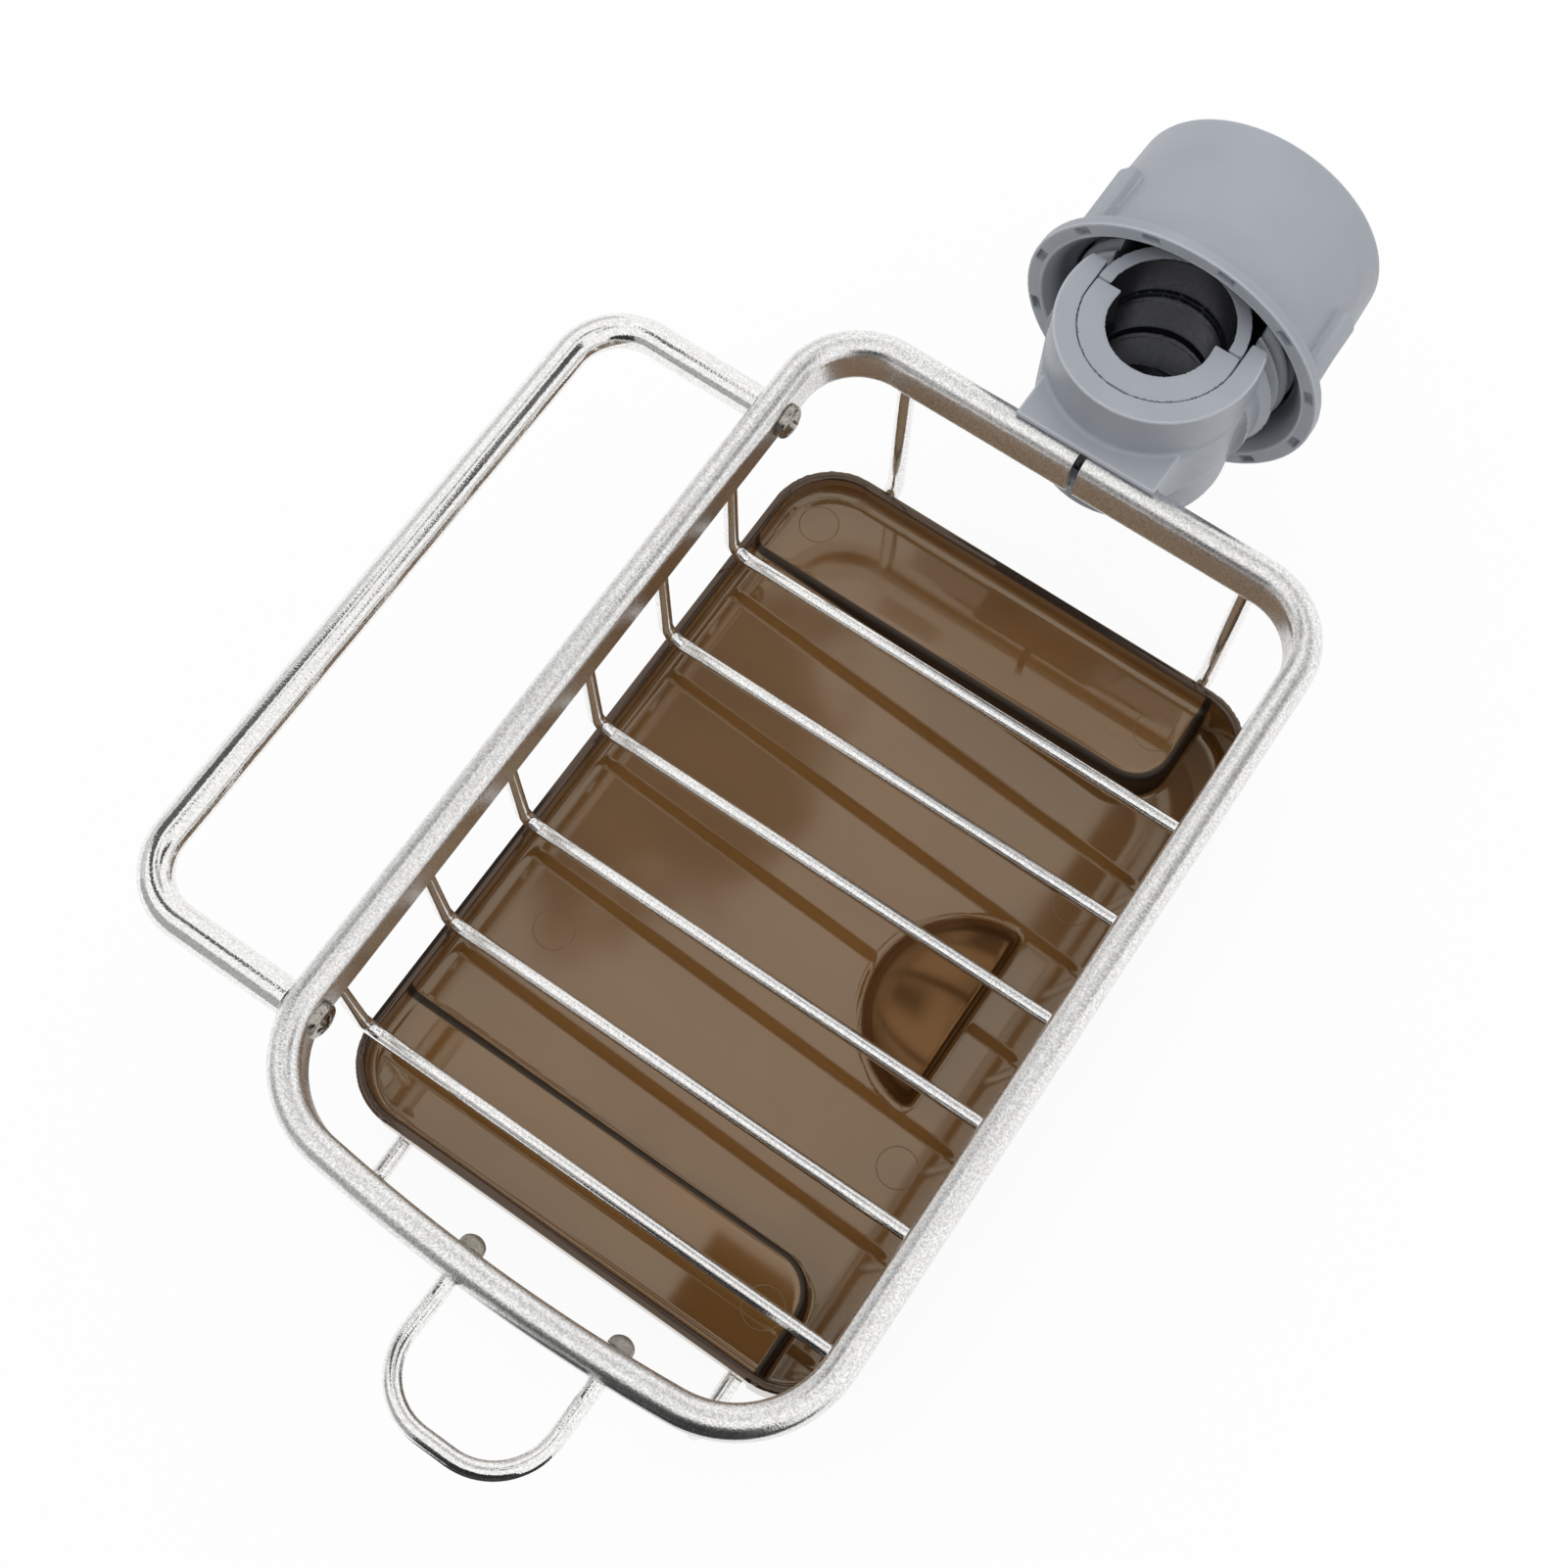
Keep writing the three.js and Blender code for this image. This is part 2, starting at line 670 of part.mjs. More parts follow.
const tenonHigh = pocketHigh.map((value) => value - seatGap);
clampBody = clampBody.add(box(tenonLow, tenonHigh));
addPiece("clamp_body", clampBody, greyPlastic);

// A half sleeve's inner wall: plain, with grip ribs that stand in toward the pipe.
function grippedBore(bore) {
  const wall = [[bore, clampHalfHeight]];
  for (const level of [gripPitch / 2, -gripPitch / 2]) {
    wall.push([bore, level + gripHalf]);
    wall.push([bore - gripRise, level + gripHalf - gripRise]);
    wall.push([bore - gripRise, level - gripHalf + gripRise]);
    wall.push([bore, level - gripHalf]);
  }
  wall.push([bore, -clampHalfHeight]);
  return wall;
}

// A ring of the clamp's full height, open along the pipe.
function sleeveRing(bore) {
  const profile = [
    [sleeveRadius, -clampHalfHeight],
    [sleeveRadius, clampHalfHeight],
    ...grippedBore(bore),
    [sleeveRadius, -clampHalfHeight],
  ];
  return turnedAboutZ(profile, 48);
}

// Inner half sleeve, with the rib that snaps into the groove of the boss
const lockRibProfile = [
  [sleeveRadius - lockRibRise, -lockRibHalf - lockRibRise + seatGap],
  [sleeveRadius, -lockRibHalf - lockRibRise + seatGap],
  [lockRib - seatGap, -lockRibHalf + seatGap],
  [lockRib - seatGap, lockRibHalf - seatGap],
  [sleeveRadius, lockRibHalf + lockRibRise - seatGap],
  [sleeveRadius - lockRibRise, lockRibHalf + lockRibRise - seatGap],
  [sleeveRadius - lockRibRise, -lockRibHalf - lockRibRise + seatGap],
];
const lockSide = box([-through, -through, -through], [through, 0, through]);
const innerSide = box([-through, -through, -through], [through, sleeveSplit, through]);
const innerSleeve = sleeveRing(innerBore).intersect(innerSide);
const innerLockRib = turnedAboutZ(lockRibProfile, 48).intersect(lockSide);
addPiece("inner_half_sleeve", innerSleeve.add(innerLockRib), greyPlastic);

// Outer half sleeve, with the stem that the nut pushes
const jawY = sleeveSplit + seatGap;
const outerSide = box([-through, 0, -through], [through, through, through]);
const stem = pinAlongY(stemRadius, 0, stemEnd - jawY, 0, 0, 32);
const boreSpace = pinAlongZ(outerBore, -through, through, 0, 0, 48);
const jaw = sleeveRing(outerBore).intersect(outerSide).add(stem.subtract(boreSpace));
addPiece("outer_half_sleeve", jaw.translate([0, jawY, 0]), greyPlastic);

// Cup nut
const flangeBack = nutFront + flangeThick;
const nutBackRadius = nutRadius - nutTaper;
const nutInnerEnd = nutEnd - nutEndWall;
let nut = turnedAboutY(
  [
    [0, nutInnerEnd],
    [nutBore, nutInnerEnd],
    [nutBore, nutFront + mouthDepth],
    [mouthRadius, nutFront],
    [flangeRadius - flangeEdge, nutFront],
    [flangeRadius, nutFront + flangeEdge],
    [flangeRadius, flangeBack - flangeEdge],
    [flangeRadius - flangeEdge, flangeBack],
    [nutRadius, flangeBack],
    [nutBackRadius, nutEnd - nutCorner],
    [nutBackRadius - 0.3 * nutCorner, nutEnd - 0.3 * nutCorner],
    [nutBackRadius - nutCorner, nutEnd],
    [0, nutEnd],
  ],
  64,
);
for (let i = 0; i < notchCount; i += 1) {
  const angle = THREE.MathUtils.degToRad(notchStartDegrees) + (2 * Math.PI * i) / notchCount;
  const notch = new THREE.BoxGeometry(notchLength, 2 * notchDepth, notchWidth);
  notch.translate(flangeRadius - notchInset, nutFront, 0).rotateY(-angle);
  nut = nut.subtract(solid(notch));
}
for (let i = 0; i < ribCount; i += 1) {
  const angle = THREE.MathUtils.degToRad(ribStartDegrees) + (2 * Math.PI * i) / ribCount;
  const rib = turnedGeometry(
    [
      [0, 0],
      [ribRadius, 0],
      [ribRadius, ribLength - ribEdge],
      [ribRadius - ribEdge, ribLength],
      [0, ribLength],
    ],
    20,
  );
  rib.translate(nutRadius + ribProud - ribRadius, flangeBack - flangeEdge, 0).rotateY(-angle);
  nut = nut.add(solid(rib));
}
const boreClear = pinAlongY(nutBore, nutFront, nutInnerEnd, 0, 0, 64);
const pad = pinAlongY(padRadius, stemEnd + seatGap, nutEnd - nutEndWall / 2, 0, 0, 32);
addPiece("clamp_nut", nut.subtract(boreClear).add(pad), greyPlastic);

export default part;
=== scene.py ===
import math

import bpy
import numpy as np
from mathutils import Matrix, Vector


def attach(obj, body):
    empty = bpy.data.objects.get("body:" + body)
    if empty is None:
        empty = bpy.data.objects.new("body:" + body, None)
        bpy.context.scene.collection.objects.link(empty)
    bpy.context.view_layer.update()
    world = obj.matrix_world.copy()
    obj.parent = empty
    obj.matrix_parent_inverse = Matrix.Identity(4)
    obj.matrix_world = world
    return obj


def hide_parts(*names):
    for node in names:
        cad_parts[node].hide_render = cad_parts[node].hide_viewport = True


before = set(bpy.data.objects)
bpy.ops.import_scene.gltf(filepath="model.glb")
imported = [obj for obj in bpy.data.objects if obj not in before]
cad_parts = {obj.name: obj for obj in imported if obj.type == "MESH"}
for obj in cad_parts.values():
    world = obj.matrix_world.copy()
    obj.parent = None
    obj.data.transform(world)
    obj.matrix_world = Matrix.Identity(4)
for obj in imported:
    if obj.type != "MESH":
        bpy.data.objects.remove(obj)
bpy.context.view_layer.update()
mm = 0.001


# Mesh making: all shapes are worked out in millimetres and stored in metres
def addPiece(name, points, faces, body, material, node, sharpDegrees=40):
    mesh = bpy.data.meshes.new(name)
    spots = np.asarray(points, float) * mm
    mesh.from_pydata(spots.tolist(), [], [list(f) for f in faces])
    mesh.validate()
    mesh.shade_smooth()
    mesh.set_sharp_from_angle(angle=math.radians(sharpDegrees))
    mesh.materials.append(material)
    piece = bpy.data.objects.new(name, mesh)
    bpy.context.scene.collection.objects.link(piece)
    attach(piece, body)
    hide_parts(node)
    return piece


def addLayer(piece, name, values):
    # a number at every point of the mesh, which a finish reads back
    layer = piece.data.attributes.new(name, "FLOAT", "POINT")
    layer.data.foreach_set("value", values.astype(np.float32))


def bendPath(corners, radii, stepDegrees=6.0, stepLength=3.0):
    # a line through the corners with a round bend at each, and its heading at every point
    corners = [Vector(c) for c in corners]
    points, headings = [corners[0]], [(corners[1] - corners[0]).normalized()]
    for before, corner, after, radius in zip(corners, corners[1:], corners[2:], radii):
        back, on = (before - corner).normalized(), (after - corner).normalized()
        turn = math.pi - back.angle(on)
        centre = corner + (back + on).normalized() * radius / math.cos(turn / 2)
        start = corner + back * radius * math.tan(turn / 2)
        axis = (-back).cross(on).normalized()
        steps = max(2, round(math.degrees(turn) / stepDegrees), round(turn * radius / stepLength))
        for k in range(steps + 1):
            spin = Matrix.Rotation(turn * k / steps, 3, axis)
            points.append(centre + spin @ (start - centre))
            headings.append(spin @ -back)
    points.append(corners[-1])
    headings.append((corners[-1] - corners[-2]).normalized())
    return points, headings


def roundSection(diameter, count=28):
    turns = [2 * math.pi * k / count for k in range(count)]
    return [(diameter / 2 * math.cos(t), diameter / 2 * math.sin(t)) for t in turns]


def ovalSection(thick, height, count=14):
    # two half rounds joined by flat sides
    radius, straight = thick / 2, height / 2 - thick / 2
    outline = []
    for top in (1, -1):
        for k in range(count + 1):
            t = math.pi * k / count + (0 if top > 0 else math.pi)
            outline.append((radius * math.cos(t), radius * math.sin(t) + top * straight))
    return outline


def pocketOutline(section, pocket):
    # the section's own points drawn in to a small box
    half = (pocket["thick"] / 2, pocket["height"] / 2)
    outline = []
    for u, v in section:
        scale = max(abs(u) / half[0], abs(v) / half[1])
        outline.append((u / scale, v / scale))
    return outline


def sweepBar(path, headings, section, up, pocket=None):
    # the section is carried along the path, and a pocket hollows both ends
    points, rings = [], []
    upNow = Vector(up)
    last = len(path) - 1
    for k, (spot, heading) in enumerate(zip(path, headings)):
        side = heading.cross(upNow).normalized()
        upNow = side.cross(heading).normalized()
        slices = [(spot, section)]
        if pocket and k in (0, last):
            inward = heading if k == 0 else -heading
            mouth = pocketOutline(section, pocket)
            slices += [(spot, mouth), (spot + inward * pocket["depth"], mouth)]
        for centre, outline in slices[::-1] if k == 0 else slices:
            rings.append(range(len(points), len(points) + len(outline)))
            points.extend(centre + side * u + upNow * v for u, v in outline)
    faces = []
    for a, b in zip(rings, rings[1:]):
        n = len(a)
        faces.extend((a[k], a[(k + 1) % n], b[(k + 1) % n], b[k]) for k in range(n))
    faces.append(tuple(rings[0])[::-1])
    faces.append(tuple(rings[-1]))
    return points, faces


# Distance fields: below zero inside a shape, and joined or cut with round edges
def roundJoin(a, b, radius):
    corner = np.hypot(np.maximum(radius - a, 0), np.maximum(radius - b, 0))
    return np.maximum(radius, np.minimum(a, b)) - corner


def roundMeet(a, b, radius):
    corner = np.hypot(np.maximum(radius + a, 0), np.maximum(radius + b, 0))
    return np.minimum(-radius, np.maximum(a, b)) + corner


def roundedPlan(x, y, halfX, halfY, radius):
    across, along = np.abs(x) - halfX + radius, np.abs(y) - halfY + radius
    outside = np.hypot(np.maximum(across, 0), np.maximum(along, 0))
    return outside + np.minimum(np.maximum(across, along), 0) - radius


def blockOf(x, y, z, low, high):
    middle, half = (np.add(low, high)) / 2, (np.subtract(high, low)) / 2
    reach = [np.abs(v - m) - h for v, m, h in zip((x, y, z), middle, half)]
    return np.maximum(np.maximum(reach[0], reach[1]), reach[2])


def nearestSpoke(x, z, startDegrees, count):
    # how far a point lies sideways from the nearest of some even spokes, and how far out along it
    girth = np.hypot(x, z)
    step = 2 * math.pi / count
    turn = (np.arctan2(z, x) - math.radians(startDegrees) + step / 2) % step - step / 2
    return girth * np.sin(turn), girth * np.cos(turn)


def skinField(field, low, high, pitch, settle=4, nudgeShare=0.1, moveShare=0.5, leastSlope=0.05):
    # a skin of quads on the zero level of a distance field, then settled onto it
    low = np.asarray(low, float)
    counts = np.ceil((np.asarray(high, float) - low) / pitch).astype(int) + 1
    axes = [low[k] + pitch * np.arange(counts[k]) for k in range(3)]
    level = field(*np.meshgrid(*axes, indexing="ij"))
    corners, crossings = [], []
    for axis in range(3):
        first, second = [slice(None)] * 3, [slice(None)] * 3
        first[axis], second[axis] = slice(0, -1), slice(1, None)
        a, b = level[tuple(first)], level[tuple(second)]
        crossed = (a < 0) != (b < 0)
        base = np.argwhere(crossed)
        a, b = a[crossed], b[crossed]
        spot = base.astype(float)
        spot[:, axis] += a / (a - b)
        quad = np.repeat(base[:, None, :], 4, axis=1)
        u, v = (axis + 1) % 3, (axis + 2) % 3
        quad[:, 1:3, u] -= 1
        quad[:, 2:4, v] -= 1
        quad[a > 0] = quad[a > 0][:, ::-1]
        corners.append(quad)
        crossings.append(spot)
    corners, crossings = np.concatenate(corners), np.concatenate(crossings)
    ids = np.ravel_multi_index(tuple(corners.reshape(-1, 3).T), tuple(counts))
    used, faces = np.unique(ids, return_inverse=True)
    share = np.bincount(faces, minlength=len(used))
    spots = np.stack(
        [np.bincount(faces, np.repeat(crossings[:, k], 4)) / share for k in range(3)], axis=1
    )
    spots = low + pitch * spots
    nudge = nudgeShare * pitch
    for _ in range(settle):
        here = field(*spots.T)
        slope = np.empty_like(spots)
        for k in range(3):
            step = np.zeros(3)
            step[k] = nudge
            slope[:, k] = (field(*(spots + step).T) - field(*(spots - step).T)) / (2 * nudge)
        move = slope * (here / np.maximum((slope**2).sum(axis=1), leastSlope))[:, None]
        length = np.linalg.norm(move, axis=1)
        spots -= move * np.minimum(1, moveShare * pitch / np.maximum(length, 1e-9))[:, None]
    return spots, faces.reshape(-1, 4)


# Node helpers
def newMaterial(name):
    material = bpy.data.materials.new(name)
    material.use_nodes = True
    tree = material.node_tree
    return material, tree, tree.nodes["Principled BSDF"]


def addNode(tree, kind, values=None, **settings):
    node = tree.nodes.new(kind)
    for key, value in settings.items():
        setattr(node, key, value)
    for key, value in (values or {}).items():
        node.inputs[key].default_value = value
    return node


def mathNode(tree, operation, a, b):
    node = addNode(tree, "ShaderNodeMath", operation=operation)
    for socket, value in zip(node.inputs, (a, b)):
        if isinstance(value, (int, float)):
            socket.default_value = value
        else:
            tree.links.new(value, socket)
    return node.outputs[0]


def highest(tree, values):
    top = values[0]
    for value in values[1:]:
        top = mathNode(tree, "MAXIMUM", top, value)
    return top


def rampBetween(tree, value, low, high, outLow=0.0, outHigh=1.0):
    node = addNode(tree, "ShaderNodeMapRange", interpolation_type="SMOOTHSTEP")
    tree.links.new(value, node.inputs["Value"])
    for key, number in zip(("From Min", "From Max", "To Min", "To Max"), (low, high, outLow, outHigh)):
        node.inputs[key].default_value = number
    return node.outputs["Result"]


def mixColours(tree, share, a, b):
    node = addNode(tree, "ShaderNodeMix", data_type="RGBA")
    tree.links.new(share, node.inputs["Factor"])
    colours = [s for s in node.inputs if s.type == "RGBA"]
    for socket, value in zip(colours, (a, b)):
        if isinstance(value, tuple):
            socket.default_value = value
        else:
            tree.links.new(value, socket)
    return [s for s in node.outputs if s.type == "RGBA"][0]


def readLayer(tree, name):
    return addNode(tree, "ShaderNodeAttribute", attribute_name=name).outputs["Fac"]


def addBump(tree, shader, height, strength, distance):
    bump = addNode(tree, "ShaderNodeBump", {"Strength": strength, "Distance": distance})
    tree.links.new(height, bump.inputs["Height"])
    tree.links.new(bump.outputs["Normal"], shader.inputs["Normal"])


def newGroup(name, inputs, outputs):
    group = bpy.data.node_groups.new(name, "ShaderNodeTree")
    for label, value in inputs.items():
        socket = group.interface.new_socket(label, in_out="INPUT", socket_type="NodeSocketFloat")
        socket.default_value = value
    for label in outputs:
        group.interface.new_socket(label, in_out="OUTPUT", socket_type="NodeSocketFloat")
    start = group.nodes.new("NodeGroupInput")
    end = group.nodes.new("NodeGroupOutput")
    return group, start, end


def placeGroup(tree, group, **values):
    node = addNode(tree, "ShaderNodeGroup", node_tree=group)
    for key, value in values.items():
        node.inputs[key].default_value = value
    return node.outputs


# Surface effects that several finishes share
grainMix = {"Fine": 0.65, "Coarse": 0.35, "tone": (0.32, 0.68)}
smudgeMix = {
    "detail": 4.0, "swirl": 0.6, "cloud": (0.35, 0.65),
    "speckPick": (0.955, 0.96), "speckEdge": (0.05, 0.09),  # few cells hold a speck, each a small dot
}


def makeGrainGroup():
    # blasted or moulded grain: fine pits over slightly larger ones
    group, start, end = newGroup("fineGrain", {"Fine": 3000.0, "Coarse": 900.0}, ("Tone", "Height"))
    place = addNode(group, "ShaderNodeTexCoord")
    layers = []
    for label in ("Fine", "Coarse"):
        noise = addNode(group, "ShaderNodeTexNoise", {"Detail": 0.0})
        group.links.new(place.outputs["Object"], noise.inputs["Vector"])
        group.links.new(start.outputs[label], noise.inputs["Scale"])
        layers.append(mathNode(group, "MULTIPLY", noise.outputs["Fac"], grainMix[label]))
    both = mathNode(group, "ADD", *layers)
    group.links.new(rampBetween(group, both, *grainMix["tone"]), end.inputs["Tone"])
    group.links.new(both, end.inputs["Height"])
    return group


def makeSmudgeGroup():
    # handling: broad cloudy patches and a few tiny specks
    group, start, end = newGroup("handlingMarks", {"Patch": 60.0, "Speck": 240.0}, ("Smudge", "Speck"))
    place = addNode(group, "ShaderNodeTexCoord")
    look = {"Detail": smudgeMix["detail"], "Distortion": smudgeMix["swirl"]}
    cloud = addNode(group, "ShaderNodeTexNoise", look)
    group.links.new(place.outputs["Object"], cloud.inputs["Vector"])
    group.links.new(start.outputs["Patch"], cloud.inputs["Scale"])
    group.links.new(rampBetween(group, cloud.outputs["Fac"], *smudgeMix["cloud"]), end.inputs["Smudge"])
    dots = addNode(group, "ShaderNodeTexVoronoi")
    group.links.new(place.outputs["Object"], dots.inputs["Vector"])
    group.links.new(start.outputs["Speck"], dots.inputs["Scale"])
    pick = addNode(group, "ShaderNodeSeparateColor")
    group.links.new(dots.outputs["Color"], pick.inputs["Color"])
    chosen = rampBetween(group, pick.outputs["Red"], *smudgeMix["speckPick"])
    near = rampBetween(group, dots.outputs["Distance"], *smudgeMix["speckEdge"], 1.0, 0.0)
    group.links.new(mathNode(group, "MULTIPLY", chosen, near), end.inputs["Speck"])
    return group


fineGrain = makeGrainGroup()
handlingMarks = makeSmudgeGroup()

# Finishes: fine, coarse, patch and speck count features to the metre, grain is a depth in metres
blastedAluminium = {
    "light": (1.0, 0.995, 0.98, 1), "dark": (0.7, 0.69, 0.675, 1), "rough": (0.27, 0.31),
    "fine": 3300.0, "coarse": 2000.0, "patch": 45.0, "grain": 0.000036,
}
brightSteel = {
    "light": (1.0, 0.995, 0.98, 1), "dark": (0.76, 0.75, 0.73, 1), "rough": (0.1, 0.15),
    "fine": 3700.0, "coarse": 2200.0, "patch": 70.0, "grain": 0.000018,
}
screwSteel = {
    "light": (0.52, 0.49, 0.44, 1), "dark": (0.32, 0.3, 0.26, 1), "rough": (0.16, 0.24),
    "fine": 3700.0, "coarse": 2200.0, "patch": 70.0, "grain": 0.000014,
}
dullNickel = {
    "light": (0.42, 0.39, 0.34, 1), "dark": (0.33, 0.3, 0.26, 1), "rough": (0.4, 0.48),
    "fine": 3700.0, "coarse": 2200.0, "patch": 70.0, "grain": 0.000012,
}


def makeMetal(name, finish):
    material, tree, shader = newMaterial(name)
    grain = placeGroup(tree, fineGrain, Fine=finish["fine"], Coarse=finish["coarse"])
    marks = placeGroup(tree, handlingMarks, Patch=finish["patch"])
    shader.inputs["Metallic"].default_value = 1.0
    colour = mixColours(tree, grain["Tone"], finish["dark"], finish["light"])
    tree.links.new(colour, shader.inputs["Base Color"])
    tree.links.new(rampBetween(tree, marks["Smudge"], 0, 1, *finish["rough"]), shader.inputs["Roughness"])
    addBump(tree, shader, grain["Height"], 1.0, finish["grain"])
    return material


# Smoky plastic: the lip and a band along the platform steps are darkened as painted shade, the finger pull
# has a tint of its own, and all three mirror less white
smokyBrown = {
    "body": (0.155, 0.072, 0.021, 1), "deep": (0.135, 0.06, 0.016, 1), "shine": (1.0, 0.93, 0.77, 1),
    "rough": (0.04, 0.07), "index": 1.6, "gloss": 1.0,
    "patch": 28.0, "speck": 210.0, "speckStrength": 0.5, "speckRise": 0.0001,
    # lip and step: painted shade colours for the rim and for the band along the platform steps
    "lip": (0.085, 0.058, 0.044, 1), "lipDense": 0.8, "lipFade": (0.35, 0.7),
    "step": (0.045, 0.032, 0.024, 1), "stepDense": 0.75, "stepRough": 0.5,
    "stepInner": (-1.3, -0.95), "stepOuter": (0.1, 0.4),
    "pull": (0.155, 0.071, 0.021, 1), "pullDense": 0.8, "pullRough": 0.25,
}


def makeSmoky():
    s = smokyBrown
    material, tree, shader = newMaterial("smokyBrown")
    marks = placeGroup(tree, handlingMarks, Patch=s["patch"], Speck=s["speck"])
    inset = readLayer(tree, "stepInset")
    inner = rampBetween(tree, inset, *s["stepInner"])
    outer = rampBetween(tree, inset, *s["stepOuter"], 1.0, 0.0)
    # the lip and step masks place painted shade: darker bands on the lip and along the platform steps
    masks = {
        "lip": rampBetween(tree, readLayer(tree, "lipDepth"), *s["lipFade"], 1.0, 0.0),
        "step": mathNode(tree, "MULTIPLY", inner, outer),
        "pull": readLayer(tree, "pullDome"),
    }
    colour = mixColours(tree, marks["Smudge"], s["body"], s["deep"])
    for place, mask in masks.items():
        colour = mixColours(tree, mask, colour, s[place])
    smooth = rampBetween(tree, marks["Smudge"], 0, 1, *s["rough"])
    rough = [mathNode(tree, "MULTIPLY", masks[k], s[k + "Rough"]) for k in ("step", "pull")]
    dense = [mathNode(tree, "MULTIPLY", masks[k], s[k + "Dense"]) for k in masks]
    tree.links.new(colour, shader.inputs["Base Color"])
    tree.links.new(highest(tree, dense), shader.inputs["Metallic"])  # tints the shine there
    tree.links.new(highest(tree, [smooth] + rough), shader.inputs["Roughness"])
    shader.inputs["IOR"].default_value = s["index"]
    shader.inputs["Specular IOR Level"].default_value = s["gloss"]
    shader.inputs["Specular Tint"].default_value = s["shine"]
    addBump(tree, shader, marks["Speck"], s["speckStrength"], s["speckRise"])
    return material


# Grey moulding: a pale line painted on its edges, partly painted highlight and partly wear, and painted
# shade inside the bore and the nut's mouth
greyMoulding = {
    "light": (0.345, 0.371, 0.408, 1), "dark": (0.32, 0.345, 0.38, 1), "rough": (0.36, 0.46),
    "fine": 2600.0, "coarse": 700.0, "patch": 50.0, "grain": 0.00003, "grainStrength": 0.6,
    "edge": (0.46, 0.48, 0.51, 1), "edgeFade": (0.1, 0.9),
    # bore: painted shade, a near-black, more metallic and glossier colour inside the bore and the nut's
    # mouth
    "bore": (0.02, 0.022, 0.028, 1), "boreShadeFade": (0.35, 0.75), "boreShadeDense": 0.6, "boreShadeRough": 0.8,
}


def makeGrey():
    g = greyMoulding
    material, tree, shader = newMaterial("greyMoulding")
    grain = placeGroup(tree, fineGrain, Fine=g["fine"], Coarse=g["coarse"])
    marks = placeGroup(tree, handlingMarks, Patch=g["patch"])
    colour = mixColours(tree, marks["Smudge"], g["dark"], g["light"])
    # pale line on the edges: partly painted highlight, partly wear
    paleEdge = rampBetween(tree, readLayer(tree, "edgeHighlightWear"), *g["edgeFade"])
    colour = mixColours(tree, paleEdge, colour, g["edge"])
    # painted shade inside the bore and the nut's mouth
    inside = rampBetween(tree, readLayer(tree, "boreShade"), *g["boreShadeFade"])
    colour = mixColours(tree, inside, colour, g["bore"])
    tree.links.new(colour, shader.inputs["Base Color"])
    tree.links.new(mathNode(tree, "MULTIPLY", inside, g["boreShadeDense"]), shader.inputs["Metallic"])
    rough = rampBetween(tree, grain["Tone"], 0, 1, *g["rough"])
    rough = mathNode(tree, "MULTIPLY", rough, rampBetween(tree, inside, 0, 1, 1.0, g["boreShadeRough"]))
    tree.links.new(rough, shader.inputs["Roughness"])
    addBump(tree, shader, grain["Height"], g["grainStrength"], g["grain"])
    return material


aluminium = makeMetal("blastedAluminium", blastedAluminium)
steel = makeMetal("brightSteel", brightSteel)
darkSteel = makeMetal("screwSteel", screwSteel)
nickel = makeMetal("dullNickel", dullNickel)
smoky = makeSmoky()
grey = makeGrey()
print("finishes made")

# Rim bar, open at the slit in the middle of the far rail
rim = {
    "thick": 5.0, "height": 10.0, "sideX": 46.5, "farY": -20.3, "slitHalf": 0.7,
    "nearCornerY": -172.81, "nearMidY": -177.29, "farBend": 12.5, "nearBend": 17.5, "bow": 300.9,
    "pocket": {"thick": 2.6, "height": 6.6, "depth": 10.0}, "stepDegrees": 4.0,
}


def makeRim():
    x, farY, cornerY = rim["sideX"], rim["farY"], rim["nearCornerY"]
    corners = [
        (rim["slitHalf"], farY, 0), (x, farY, 0), (x, cornerY, 0), (0, rim["nearMidY"], 0),
        (-x, cornerY, 0), (-x, farY, 0), (-rim["slitHalf"], farY, 0),
    ]
    radii = [rim["farBend"], rim["nearBend"], rim["bow"], rim["nearBend"], rim["farBend"]]
    path, headings = bendPath(corners, radii, rim["stepDegrees"])
    section = ovalSection(rim["thick"], rim["height"])
    points, faces = sweepBar(path, headings, section, (0, 0, 1), rim["pocket"])
    addPiece("rimBar", points, faces, "rack", aluminium, "rim_frame")


makeRim()


def addRod(name, corners, radii, shape, up, node):
    path, headings = bendPath(corners, radii, shape["stepDegrees"])
    points, faces = sweepBar(path, headings, roundSection(shape["diameter"], shape["sides"]), up)
    addPiece(name, points, faces, "rack", steel, node)


# Cross wires of the rack, and the cradles under the tray
wires = {
    "diameter": 2.5, "sides": 28, "stepDegrees": 7.0, "level": -30.0, "top": -4.6, "bend": 4.0,
    "rows": (-51.4, -70.8, -90.7, -111.1, -132.0, -153.4),
}
cradles = {
    "diameter": 3.0, "sides": 28, "stepDegrees": 7.0, "level": -41.5, "top": -4.6, "bend": 4.0,
    "sideX": 32.5, "Far": {"legY": -20.3, "runY": -42.1}, "Near": {"legY": -173.99, "runY": -147.1},
}


def makeWires():
    x, level, top = rim["sideX"], wires["level"], wires["top"]
    for number, y in enumerate(wires["rows"], 1):
        corners = [(-x, y, top), (-x, y, level), (x, y, level), (x, y, top)]
        radii = [wires["bend"]] * 2
        addRod(f"crossWire{number}", corners, radii, wires, (0, 1, 0), f"cross_wire_{number}")
    x, level, top = cradles["sideX"], cradles["level"], cradles["top"]
    for end in ("Far", "Near"):
        legY, runY = cradles[end]["legY"], cradles[end]["runY"]
        corners = [
            (-x, legY, top), (-x, legY, level), (-x, runY, level),
            (x, runY, level), (x, legY, level), (x, legY, top),
        ]
        radii = [cradles["bend"]] * 4
        addRod(f"cradle{end}", corners, radii, cradles, (1, 0, 0), f"cradle_wire_{end.lower()}")


makeWires()

